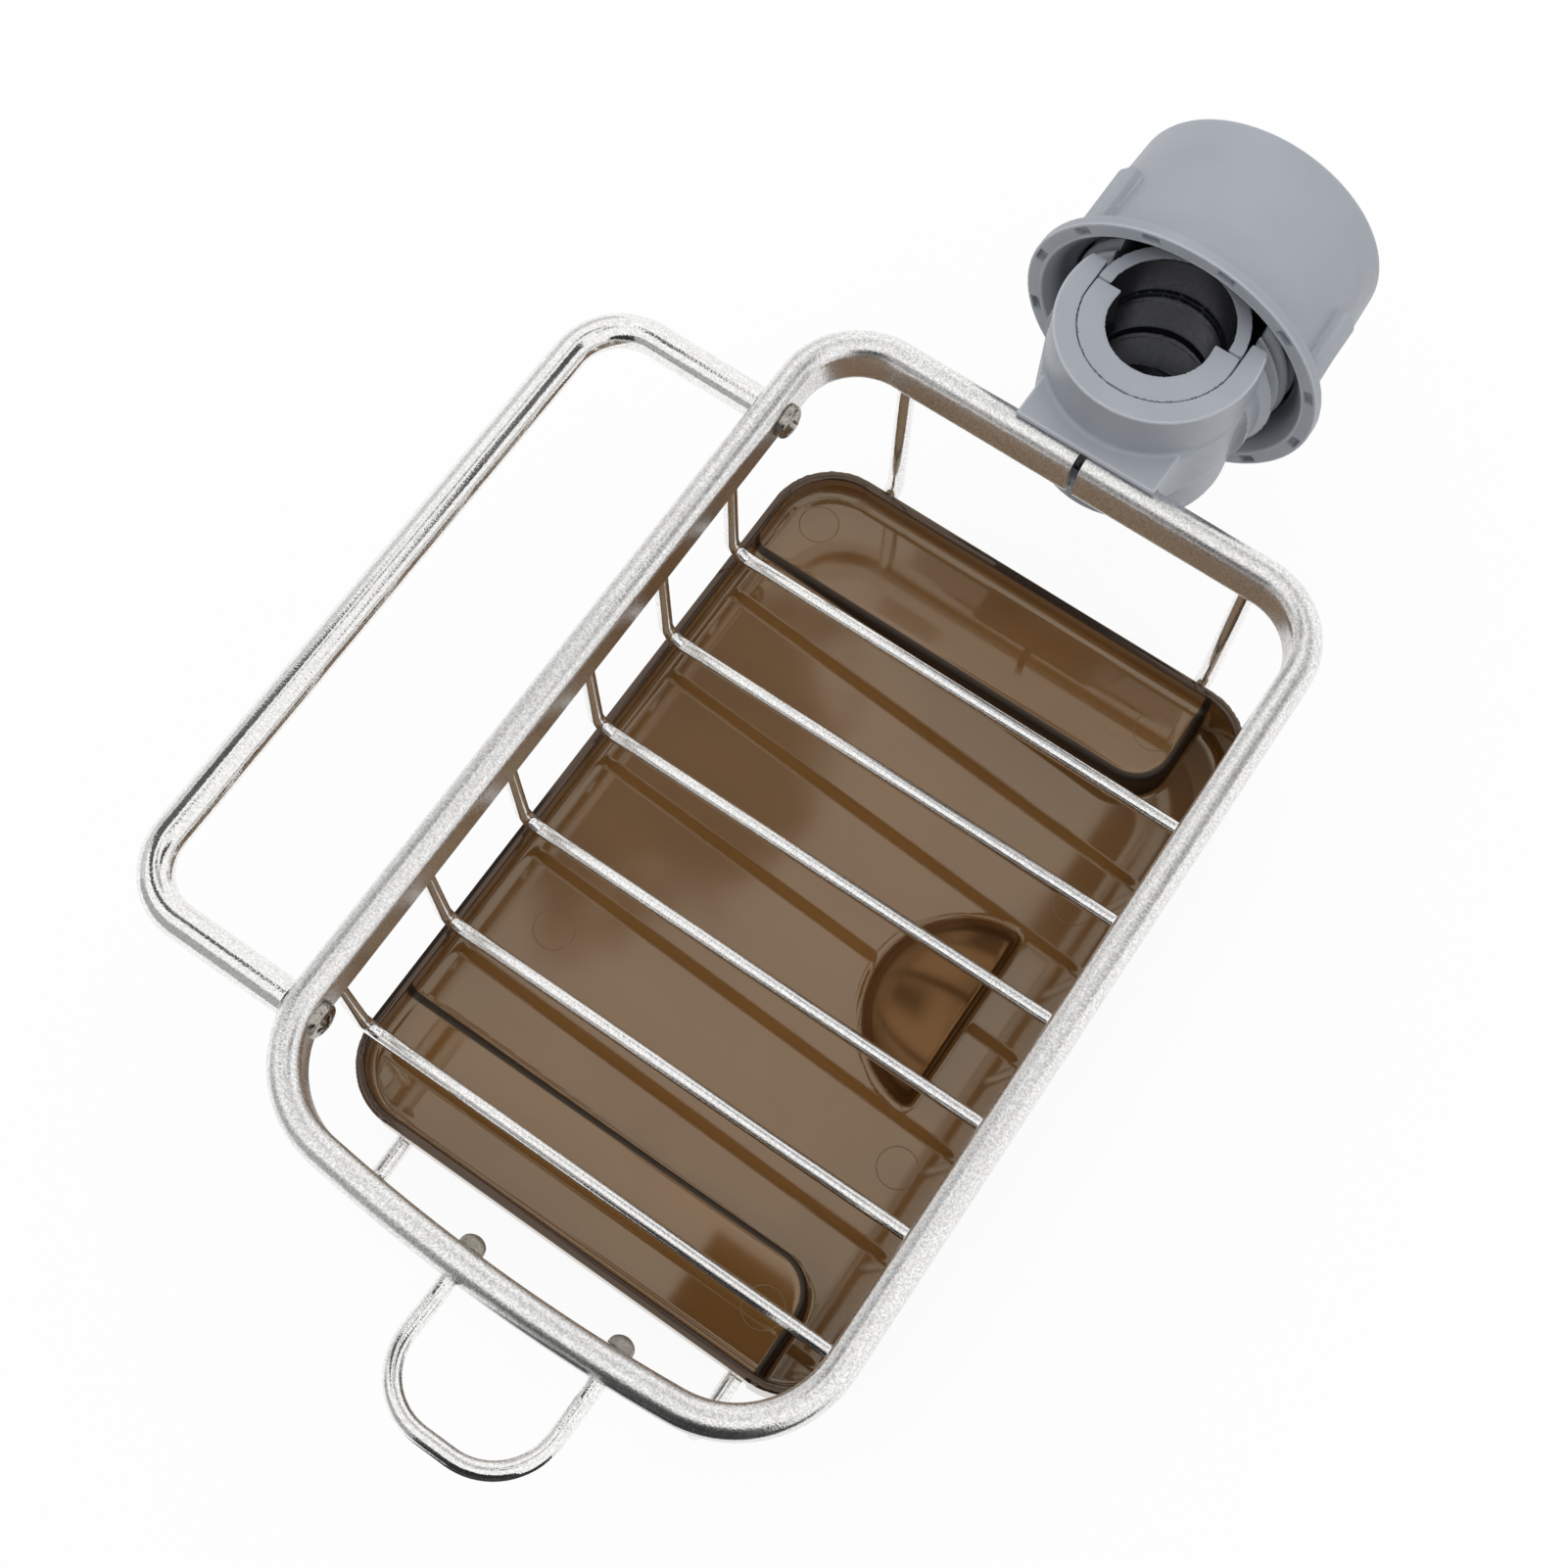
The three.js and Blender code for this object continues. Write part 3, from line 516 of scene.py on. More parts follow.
# Towel bar and hook loop
towel = {
    "diameter": 5.7, "sides": 40, "stepDegrees": 5.0, "endX": -49.05, "barX": -79.7,
    "farY": -39.3, "nearY": -159.6, "bend": 10.0,
}
hook = {
    "diameter": 2.8, "sides": 28, "stepDegrees": 5.0, "leftX": -5.35, "rightX": 19.95, "leftRootY": -178.4,
    "rightRootY": -177.8, "rootLength": 2.75, "endY": -197.0, "rise": 3.4, "corner": 10.2, "rootBend": 6.0,
}


def makeRods():
    endX, barX, farY, nearY = towel["endX"], towel["barX"], towel["farY"], towel["nearY"]
    corners = [(endX, farY, 0), (barX, farY, 0), (barX, nearY, 0), (endX, nearY, 0)]
    addRod("towelBar", corners, [towel["bend"]] * 2, towel, (0, 0, 1), "towel_bar")
    leftX, rightX, root = hook["leftX"], hook["rightX"], hook["rootLength"]
    leftY, rightY, endY, rise = hook["leftRootY"], hook["rightRootY"], hook["endY"], hook["rise"]
    corners = [
        (leftX, leftY, 0), (leftX, leftY - root, 0), (leftX, endY, rise),
        (rightX, endY, rise), (rightX, rightY - root, 0), (rightX, rightY, 0),
    ]
    radii = [hook["rootBend"], hook["corner"], hook["corner"], hook["rootBend"]]
    addRod("hookLoop", corners, radii, hook, (0, 0, 1), "hook_loop")


makeRods()
print("bar, wires and rods made")

# Screws: a cross-recessed head inside the left rail, a plain round head inside the near rail
screwStem = {"length": 4.0, "overlap": 0.5, "underEdge": 0.15}
towelScrew = {
    "headX": -43.95, "radius": 3.0, "height": 2.1, "crown": 0.9, "edge": 0.45, "shank": 1.5,
    "slotHalf": 0.5, "slotReach": 2.0, "slotDepth": 1.6, "slotTaper": 0.12, "reachTaper": 4,
    "slotEdge": 0.08, "turns": {"Far": 20, "Near": 52},
    "low": (-3.4, -3.4, -4.4), "high": (3.4, 3.4, 2.6), "pitch": 0.14,
}
hookScrew = {
    "radius": 2.2, "height": 2.1, "crown": 1.7, "edge": 0.5, "shank": 0.8,
    "leftY": -173.3, "rightY": -172.65,
    "low": (-2.4, -2.4, -4.4), "high": (2.4, 2.4, 2.4), "pitch": 0.14,
}


def panHead(screw, u, v, w):
    # w runs out of the rail along the screw's axis
    rho = np.hypot(u, v)
    crown = screw["crown"]
    ball = (screw["radius"] ** 2 + crown**2) / (2 * crown)
    dome = np.sqrt(rho**2 + (w - screw["height"] + ball) ** 2) - ball
    head = roundMeet(rho - screw["radius"], dome, screw["edge"])
    head = roundMeet(head, -w, screwStem["underEdge"])
    stem = np.maximum(rho - screw["shank"], w - screwStem["overlap"])
    return np.minimum(head, np.maximum(stem, -w - screwStem["length"]))


def crossHead(u, v, w):
    s = towelScrew
    taper = s["slotTaper"] * (s["height"] - w)
    arms = []
    for a, b in ((u, v), (v, u)):
        side = np.abs(a) - s["slotHalf"] + taper
        arms.append(np.maximum(side, np.abs(b) - s["slotReach"] + s["reachTaper"] * taper))
    recess = np.maximum(np.minimum(*arms), s["height"] - s["slotDepth"] - w)
    return roundMeet(panHead(s, u, v, w), -recess, s["slotEdge"])


def roundHead(u, v, w):
    return panHead(hookScrew, u, v, w)


def makeScrews():
    s = towelScrew
    spots, faces = skinField(crossHead, s["low"], s["high"], s["pitch"])
    u, v, w = spots.T
    for end, y in (("Far", towel["farY"]), ("Near", towel["nearY"])):
        turn = math.radians(s["turns"][end])
        c, n = math.cos(turn), math.sin(turn)
        placed = np.stack([s["headX"] + w, y + (u * c - v * n), u * n + v * c], axis=1)
        node = f"towel_screw_{end.lower()}"
        addPiece(f"towelScrew{end}", placed, faces, "rack", darkSteel, node)
    h = hookScrew
    spots, faces = skinField(roundHead, h["low"], h["high"], h["pitch"])
    u, v, w = spots.T
    for end, x, y in (("Left", hook["leftX"], h["leftY"]), ("Right", hook["rightX"], h["rightY"])):
        placed = np.stack([x - u, y + w, v], axis=1)
        node = f"hook_screw_{end.lower()}"
        addPiece(f"hookScrew{end}", placed, faces, "rack", nickel, node)


makeScrews()
print("screws made")

# Drip tray: two end platforms, a floor that slopes down to the right, and a finger pull
tray = {
    "halfX": 47.0, "halfY": 69.3, "midY": -94.6, "corner": 12.0, "wall": 1.6, "floor": 1.7, "top": -33.0,
    "leftFloor": -38.5, "rightFloor": -47.5, "platform": -38.0, "platformUnder": -39.7, "stepX": 36.0,
    "farStepY": -45.6, "nearStepY": -143.6, "stepCorner": 7.5, "lip": 0.22, "edge": 1.3, "fillet": 1.5,
    "underEdge": 2.4, "bedJoin": 1.0, "hollowEdge": 0.3, "below": 4, "margin": 1.5, "pitch": 0.5,
    "sharpDegrees": 70,
    "pull": {
        "x": 31.0, "z": -45.97, "radius": 17.6, "height": 8.4, "fullness": 2.05,
        "edge": 1.3, "join": 1.2, "fade": 0.8, "foot": 0.5, "leastSize": 1e-6, "leastSlope": 0.02,
    },
    "pinMarks": (
        (-39.0, -35.3), (30.5, -35.3), (30.5, -153.0), (35.2, -66.8), (35.2, -121.3), (-33.5, -121.8),
    ),
    "pinRadius": 3.5, "pinRidge": 0.09, "stepBandWall": 1.3, "noStep": 5.0,
}


def trayFloorAt(x):
    share = (x + tray["halfX"]) / (2 * tray["halfX"])
    return tray["leftFloor"] + share * (tray["rightFloor"] - tray["leftFloor"])


def trayOutline(x, y):
    return roundedPlan(x, y - tray["midY"], tray["halfX"], tray["halfY"], tray["corner"])


def stepPlan(x, y, inset=0.0):
    # distance outside the nearer end platform, seen from above
    dy = np.where(y > tray["midY"], tray["farStepY"] - y, y - tray["nearStepY"])
    r = tray["stepCorner"]
    across, along = x - tray["stepX"] + r, dy + r
    outside = np.hypot(np.maximum(across, 0), np.maximum(along, 0))
    return outside + np.minimum(np.maximum(across, along), 0) - r + inset


def pullShape(x, y, z, inset):
    # half of a round dome, cut off by an upright face
    p = tray["pull"]
    radius, height, n = p["radius"] - inset, p["height"] - inset, p["fullness"]
    rho = np.hypot(x - p["x"], y - tray["midY"])
    u, v = rho / radius, np.maximum(z - p["z"], 0) / height
    size = np.maximum((u**n + v**n) ** (1 / n), p["leastSize"])
    steep = np.hypot((u / size) ** (n - 1) / radius, (v / size) ** (n - 1) / height)
    dome = (size - 1) / np.maximum(steep, p["leastSlope"])
    return roundMeet(dome, x - p["x"] + inset, p["edge"])


def trayField(x, y, z):
    slope = math.cos(math.atan2(tray["leftFloor"] - tray["rightFloor"], 2 * tray["halfX"]))
    lift = (z - trayFloorAt(x)) * slope
    outer = trayOutline(x, y)
    inner = outer + tray["wall"]
    shell = roundMeet(outer, z - tray["top"], tray["lip"])
    shell = roundMeet(shell, -lift - tray["floor"], tray["underEdge"])
    platform = roundMeet(stepPlan(x, y), z - tray["platform"], tray["edge"])
    bed = roundJoin(lift, platform, tray["bedJoin"])
    bed = roundJoin(bed, pullShape(x, y, z, 0.0), tray["pull"]["join"])
    room = roundMeet(inner, -bed, tray["fillet"])
    body = roundMeet(shell, -room, tray["lip"])
    recess = np.maximum(stepPlan(x, y, tray["wall"]), z - tray["platformUnder"])
    body = roundMeet(body, -recess, tray["hollowEdge"])
    hollow = np.maximum(pullShape(x, y, z, tray["wall"]), -z + tray["rightFloor"] - tray["below"])
    return roundMeet(body, -hollow, tray["hollowEdge"])


def ringRidge(centre, normal, radius, ridge, around=48, section=8):
    # a thin round ridge that lies half sunk in a face
    normal = Vector(normal).normalized()
    across = normal.orthogonal().normalized()
    along = normal.cross(across)
    points, faces = [], []
    for i in range(around):
        t = 2 * math.pi * i / around
        out = across * math.cos(t) + along * math.sin(t)
        for j in range(section):
            a = 2 * math.pi * j / section
            reach = radius + ridge * math.cos(a)
            points.append(Vector(centre) + out * reach + normal * ridge * math.sin(a))
            k = (i + 1) % around
            n = (j + 1) % section
            faces.append((i * section + j, k * section + j, k * section + n, i * section + n))
    return points, faces


def makeTray():
    halfX, halfY, midY, margin = tray["halfX"], tray["halfY"], tray["midY"], tray["margin"]
    low = (-halfX - margin, midY - halfY - margin, tray["rightFloor"] - tray["below"])
    high = (halfX + margin, midY + halfY + margin, tray["top"] + margin)
    spots, faces = skinField(trayField, low, high, tray["pitch"])
    points, faces = spots.tolist(), faces.tolist()
    tilt = (tray["leftFloor"] - tray["rightFloor"]) / (2 * halfX)
    for x, y in tray["pinMarks"]:
        onStep = stepPlan(np.array(x), np.array(y)) < 0
        height = tray["platform"] if onStep else float(trayFloorAt(x))
        normal = (0, 0, 1) if onStep else (tilt, 0, 1)
        ring, ringFaces = ringRidge((x, y, height), normal, tray["pinRadius"], tray["pinRidge"])
        faces.extend([k + len(points) for k in f] for f in ringFaces)
        points.extend(tuple(p) for p in ring)
    sharp = tray["sharpDegrees"]
    piece = addPiece("dripTray", points, faces, "tray", smoky, "drip_tray", sharp)
    x, y, z = np.array(points).T
    # layers that place the painted shade of the lip and the step band, and the finger pull's tint
    addLayer(piece, "lipDepth", tray["top"] - z)
    inside = trayOutline(x, y) < -tray["stepBandWall"]
    addLayer(piece, "stepInset", np.where(inside, stepPlan(x, y), tray["noStep"]))
    onDome = np.clip(1 - np.abs(pullShape(x, y, z, 0.0)) / tray["pull"]["fade"], 0, 1)
    addLayer(piece, "pullDome", onDome * (z > trayFloorAt(x) + tray["pull"]["foot"]))
    return len(points)


print("tray made:", makeTray(), "points")

# Pale line painted on the edges of the grey pieces, partly painted highlight and partly wear: how far from
# an edge the pale line reaches
edgeLine = {"full": 1.15, "width": 0.5, "none": 9.0}


# the pale edge line is partly painted highlight and partly wear
def paleEdgeNear(distances):
    return np.clip(edgeLine["full"] - np.min(distances, axis=0) / edgeLine["width"], 0, 1)


# Clamp body: saddle on the far rail, upright boss, threaded stub that the nut runs on
clamp = {
    "bossRadius": 17.0, "halfHeight": 16.0, "edge": 0.3, "bossEnd": 5.7, "bossEndEdge": 0.25,
    "pocket": 13.25, "pocketEdge": 0.15,
    "stubStart": 16.4, "stubRadius": 20.2, "stubEnd": 30.0, "stubEdge": 0.4, "stubJoin": 0.3,
    "coneLean": 0.83, "shoulderEdge": 0.2, "neckEnd": 7.6, "neckRadius": 18.9,
    "threadPitch": 3.0, "threadDepth": 0.9, "threadGap": 0.1, "threadFade": 0.5, "threadLean": 0.8,
    "saddleX": 12.75, "saddleZ": 6.2, "saddleEdge": 0.3, "saddleReach": 4, "flare": 2.6, "blend": 0.8,
    "seatGap": 0.12, "seatEdge": 0.2,
    "webHalf": 0.4, "webBottom": -5, "webTop": -1.5, "webFront": 1, "webBack": 5,
    "tenonX": 10.4, "tenonY": 1, "tenonZ": 3, "tenonNeck": 1.6,
    "low": (-21.5, -24, -21.5), "high": (21.5, 31.5, 21.5), "pitch": 0.34,
    "paleLineBoss": 1, "paleLineSaddle": -12, "paleLineSeat": 0.2, "sharpDegrees": 32,
}


def threadWave(x, y, z):
    turn = np.arctan2(z, x) / (2 * math.pi)
    return 0.5 + 0.5 * np.cos(2 * math.pi * (y / clamp["threadPitch"] - turn))


def stubField(x, y, z):
    # a cone that widens to the shoulder, then a neck and the thread
    c = clamp
    girth = np.hypot(x, z)
    radius = c["stubStart"] + np.clip(y / c["bossEnd"], 0, 1) * (c["stubRadius"] - c["stubStart"])
    shoulder = roundMeet((girth - radius) * c["coneLean"], y - c["bossEnd"], c["shoulderEdge"])
    shoulder = np.maximum(shoulder, -y)
    threaded = np.clip((y - c["neckEnd"]) / c["threadFade"], 0, 1)
    crest = c["stubRadius"] - c["threadGap"] - c["threadDepth"] * threadWave(x, y, z)
    core = c["neckRadius"] + threaded * (crest - c["neckRadius"])
    stub = roundMeet((girth - core) * c["threadLean"], y - c["stubEnd"], c["stubEdge"])
    return np.minimum(np.maximum(stub, -y), shoulder)


def saddleField(x, y, z):
    c = clamp
    side = np.maximum(np.abs(x) - c["saddleX"], rim["farY"] - y)
    side = np.maximum(side, y)
    side = roundJoin(np.hypot(x, y) - c["bossRadius"], side, c["flare"])
    saddle = roundMeet(side, np.abs(z) - c["saddleZ"], c["saddleEdge"])
    saddle = roundMeet(saddle, rim["farY"] - y, c["saddleEdge"])
    return np.maximum(saddle, y - c["saddleReach"])


def tenonField(x, y, z):
    # a thin web in the slit, and a tenon that runs into both ends of the bar
    c = clamp
    farY = rim["farY"]
    low = (-c["webHalf"], farY - c["webFront"], c["webBottom"])
    high = (c["webHalf"], farY + c["webBack"], c["webTop"])
    web = blockOf(x, y, z, low, high)
    low = (-c["tenonX"], farY - c["tenonY"], -c["tenonZ"])
    high = (c["tenonX"], farY + c["tenonY"], c["tenonZ"])
    tenon = blockOf(x, y, z, low, high)
    tenon = np.maximum(tenon, np.minimum(c["tenonNeck"] - np.abs(x), z - c["webTop"]))
    return np.minimum(web, tenon)


def clampField(x, y, z):
    c = clamp
    rho = np.hypot(x, y)
    boss = roundMeet(rho - c["bossRadius"], np.abs(z) - c["halfHeight"], c["edge"])
    boss = roundMeet(boss, y - c["bossEnd"], c["bossEndEdge"])
    body = roundJoin(boss, stubField(x, y, z), c["stubJoin"])
    body = roundJoin(body, saddleField(x, y, z), c["blend"])
    railRadius = rim["thick"] / 2
    railFlat = rim["height"] / 2 - railRadius
    rail = np.hypot(y - rim["farY"], np.maximum(np.abs(z) - railFlat, 0)) - railRadius
    body = roundMeet(body, c["seatGap"] - rail, c["seatEdge"])
    slot = np.minimum(rho - c["pocket"], np.maximum(np.abs(x) - c["pocket"], -y))
    body = roundMeet(body, -slot, c["pocketEdge"])
    return np.minimum(body, tenonField(x, y, z))


def clampLayers(x, y, z):
    c = clamp
    boss = np.hypot(np.hypot(x, y) - c["bossRadius"], z - c["halfHeight"])
    lift = z - c["saddleZ"]
    end = np.hypot(np.abs(x) - c["saddleX"], lift)
    edges = [
        np.where(y < c["bossEnd"] - c["paleLineBoss"], boss, edgeLine["none"]),
        np.hypot(y - rim["farY"] - c["paleLineSeat"], lift),
        np.where(y < c["paleLineSaddle"], end, edgeLine["none"]),
    ]
    return {"edgeHighlightWear": paleEdgeNear(edges)}


# Half sleeves: a thick liner in the boss, and a thinner jaw that the nut pushes by its stem
sleeves = {
    "outer": 13.12, "jawOuter": 13.05, "innerBore": 8.7, "outerBore": 10.7, "split": 2.2, "jawY": 2.35,
    "boreEdge": 0.2, "endEdge": 0.18, "splitEdge": 0.15,
    "stem": 8.0, "stemEnd": 24.0, "stemEdge": 0.5, "stemRoot": 0.8, "stemJoin": 0.8,
    "gripRise": 0.6, "gripHalf": 1.4, "gripZ": 5.5, "gripFade": 0.6, "shadeWall": 0.9, "shadeEnd": 0.3,
    "innerLow": (-14, -14, -17), "innerHigh": (14, 3.5, 17),
    "outerLow": (-14, 1.5, -17), "outerHigh": (14, 25.5, 17), "pitch": 0.4,
}


def gripWave(z):
    near = np.abs(np.abs(z) - sleeves["gripZ"])
    return sleeves["gripRise"] * np.clip((sleeves["gripHalf"] - near) / sleeves["gripFade"], 0, 1)


def halfRing(rho, z, outer, bore):
    ring = roundMeet(rho - outer, bore - gripWave(z) - rho, sleeves["boreEdge"])
    return roundMeet(ring, np.abs(z) - clamp["halfHeight"], sleeves["endEdge"])


def innerSleeveField(x, y, z):
    s = sleeves
    ring = halfRing(np.hypot(x, y), z, s["outer"], s["innerBore"])
    return roundMeet(ring, y - s["split"], s["splitEdge"])


def jawField(x, y, z):
    s = sleeves
    ahead = y - s["jawY"]
    rho = np.hypot(x, ahead)
    ring = halfRing(rho, z, s["jawOuter"], s["outerBore"])
    ring = roundMeet(ring, -ahead, s["splitEdge"])
    stem = roundMeet(np.hypot(x, z) - s["stem"], y - s["stemEnd"], s["stemEdge"])
    stem = np.maximum(stem, s["outerBore"] + s["stemRoot"] - rho)
    return roundJoin(ring, np.maximum(stem, -ahead), s["stemJoin"])


def boreShadeLayer(rho, z, bore):
    # painted shade on the bore wall, fading out towards the ends
    wall, end = bore + sleeves["shadeWall"] - rho, clamp["halfHeight"] + sleeves["shadeEnd"] - np.abs(z)
    return {"boreShade": np.minimum(wall, end)}


def innerSleeveLayers(x, y, z):
    return boreShadeLayer(np.hypot(x, y), z, sleeves["innerBore"])


def jawLayers(x, y, z):
    return boreShadeLayer(np.hypot(x, y - sleeves["jawY"]), z, sleeves["outerBore"])


# Cup nut with a notched flange, three grip ribs and a pad that meets the jaw's stem
nut = {
    "front": 7.2, "end": 37.2, "flange": 27.0, "flangeThick": 2.0, "flangeEdge": 0.3, "flangeJoin": 0.3,
    "mouth": 24.3, "mouthDepth": 4.8, "bore": 20.6, "grooveDepth": 0.35, "edge": 0.15,
    "radius": 23.8, "backRadius": 22.6, "corner": 1.8, "endWall": 2.5, "pad": 9.0, "padStart": 24.3,
    "notches": 12, "notchStart": 18.0, "notchHalf": 1.5, "notchInner": 24.9, "notchOuter": 26.3,
    "notchDepth": 1.0,
    "ribs": 3, "ribStart": 22.0, "ribHalf": 2.3, "ribTop": 25.4, "ribEnd": 22.6, "ribFront": 0.6,
    "ribRoot": 21.5, "ribEdge": 0.9, "ribEndEdge": 0.3, "ribJoin": 0.1,
    "low": (-28.5, 6, -28.5), "high": (28.5, 38.5, 28.5), "pitch": 0.34,
    "shadeLeast": 0.35, "shadeGain": 0.2, "shadeStart": 0.2, "shadeFade": 2.5, "shadeWall": 0.5, "shadeLip": 0.4,
    "shadeEnd": 0.5,
}


def mouthCone(y):
    n = nut
    deep = np.clip((y - n["front"]) / n["mouthDepth"], 0, 1)
    return deep, n["mouth"] + deep * (n["bore"] - n["mouth"])


def nutField(x, y, z):
    n = nut
    girth = np.hypot(x, z)
    back = n["front"] + n["flangeThick"]
    flange = roundMeet(girth - n["flange"], np.maximum(n["front"] - y, y - back), n["flangeEdge"])
    taper = np.clip((y - back) / (n["end"] - back), 0, 1)
    wall = girth - n["radius"] - taper * (n["backRadius"] - n["radius"])
    cup = roundMeet(wall, y - n["end"], n["corner"])
    cup = np.maximum(cup, n["front"] - y)
    side, out = nearestSpoke(x, z, n["ribStart"], n["ribs"])
    rib = roundMeet(np.abs(side) - n["ribHalf"], out - n["ribTop"], n["ribEdge"])
    rib = roundMeet(rib, y - n["ribEnd"], n["ribEndEdge"])
    rib = np.maximum(np.maximum(rib, n["front"] + n["ribFront"] - y), n["ribRoot"] - out)
    cup = roundJoin(cup, rib, n["ribJoin"])
    body = roundJoin(flange, cup, n["flangeJoin"])
    mouth = mouthCone(y)[1]
    groove = np.clip(y - n["front"] - n["mouthDepth"], 0, 1) * n["grooveDepth"] * threadWave(x, y, z)
    room = np.maximum(girth - mouth - groove, y - n["end"] + n["endWall"])
    pad = np.maximum(girth - n["pad"], n["padStart"] - y)
    room = np.maximum(room, -pad)
    body = roundMeet(body, -room, n["edge"])
    side, out = nearestSpoke(x, z, n["notchStart"], n["notches"])
    notch = np.maximum(n["notchInner"] - out, out - n["notchOuter"])
    notch = np.maximum(np.abs(side) - n["notchHalf"], notch)
    notch = np.maximum(notch, y - n["front"] - n["notchDepth"])
    return roundMeet(body, -notch, n["edge"])


def nutLayers(x, y, z):
    n = nut
    girth, ahead = np.hypot(x, z), y - n["front"]
    edges = [np.hypot(girth - n["flange"], ahead), np.hypot(girth - n["mouth"], ahead)]
    # painted shade in the nut's mouth and hollow, darker further in
    inward = np.clip((ahead - n["shadeStart"]) / n["shadeFade"], 0, 1)
    deep, mouth = mouthCone(y)
    hollow = girth < mouth + n["shadeWall"] - n["shadeLip"] * (1 - deep)
    dark = np.where(hollow, n["shadeLeast"] + n["shadeGain"] * inward, 0.0)
    dark = np.where(y > n["end"] - n["endWall"] + n["shadeEnd"], 0.0, dark)
    return {"edgeHighlightWear": paleEdgeNear(edges), "boreShade": dark}


def makeGreyPiece(label, body, node, field, layers, low, high, pitch):
    spots, faces = skinField(field, low, high, pitch)
    piece = addPiece(label, spots, faces, body, grey, node, clamp["sharpDegrees"])
    for name, values in layers(*spots.T).items():
        addLayer(piece, name, values)
    print(label, "made:", len(spots), "points")


makeGreyPiece(
    "clampBody", "rack", "clamp_body", clampField, clampLayers, clamp["low"], clamp["high"], clamp["pitch"]
)
makeGreyPiece(
    "innerSleeve", "rack", "inner_half_sleeve", innerSleeveField, innerSleeveLayers,
    sleeves["innerLow"], sleeves["innerHigh"], sleeves["pitch"],
)
makeGreyPiece(
    "outerSleeve", "jaw", "outer_half_sleeve", jawField, jawLayers,
    sleeves["outerLow"], sleeves["outerHigh"], sleeves["pitch"],
)
makeGreyPiece("clampNut", "nut", "clamp_nut", nutField, nutLayers, nut["low"], nut["high"], nut["pitch"])

# Floor, light and camera
studio = {
    "floorZ": -0.056, "floorHalf": 3.0, "floorColour": (0.9, 0.9, 0.9, 1), "floorWhite": 0.92,
    "floorRough": 0.9, "floorGloss": 0.1, "world": (0.6, 0.6, 0.61, 1),
    "panelSize": 1.6, "panelPower": 6.8, "panelPlace": (-0.1, 0.1, 0.8),
}
shot = {
    "sensor": 36, "focalPixels": 2236.08, "photoPixels": 1601, "place": (0.054185, -0.186458, 0.311458),
    "right": (0.8237127, 0.56695424, 0.00776369), "down": (0.5344913, -0.77183241, -0.34437447),
    "forward": (-0.1892523, 0.28781525, -0.93880027), "clip": (0.01, 20),
}


def addSheet(name, corners, material):
    mesh = bpy.data.meshes.new(name)
    mesh.from_pydata(corners, [], [(0, 1, 2, 3)])
    mesh.materials.append(material)
    sheet = bpy.data.objects.new(name, mesh)
    bpy.context.scene.collection.objects.link(sheet)
    return sheet


def seenWhite(tree):
    # one for rays from the camera, off shiny things and through clear ones
    path = addNode(tree, "ShaderNodeLightPath").outputs
    return highest(tree, [path["Is Camera Ray"], path["Is Glossy Ray"], path["Is Transmission Ray"]])


def mixSurface(tree, share, plain, white, output):
    mix = addNode(tree, "ShaderNodeMixShader")
    tree.links.new(share, mix.inputs["Fac"])
    tree.links.new(plain.outputs[0], mix.inputs[1])
    tree.links.new(white.outputs[0], mix.inputs[2])
    tree.links.new(mix.outputs[0], tree.nodes[output].inputs["Surface"])


def makeFloor():
    half, z = studio["floorHalf"], studio["floorZ"]
    material, tree, shader = newMaterial("paleFloor")
    shader.inputs["Roughness"].default_value = studio["floorRough"]
    shader.inputs["Specular IOR Level"].default_value = studio["floorGloss"]
    shader.inputs["Base Color"].default_value = studio["floorColour"]
    glow = addNode(tree, "ShaderNodeEmission", {"Color": (1, 1, 1, 1), "Strength": 1.0})
    share = mathNode(tree, "MULTIPLY", seenWhite(tree), studio["floorWhite"])
    mixSurface(tree, share, shader, glow, "Material Output")
    corners = [(-half, -half, z), (half, -half, z), (half, half, z), (-half, half, z)]
    addSheet("studioFloor", corners, material)


def makeLight():
    world = bpy.data.worlds.new("studioWorld")
    bpy.context.scene.world = world
    world.use_nodes = True
    air = world.node_tree
    dim = air.nodes["Background"]
    dim.inputs["Color"].default_value = studio["world"]
    white = addNode(air, "ShaderNodeBackground", {"Color": (1, 1, 1, 1), "Strength": 1.0})
    mixSurface(air, seenWhite(air), dim, white, "World Output")
    lamp = bpy.data.lights.new("topPanel", "AREA")
    lamp.shape = "SQUARE"
    lamp.size = studio["panelSize"]
    lamp.energy = studio["panelPower"]
    panel = bpy.data.objects.new("topPanel", lamp)
    panel.visible_glossy = False
    panel.location = studio["panelPlace"]
    bpy.context.scene.collection.objects.link(panel)


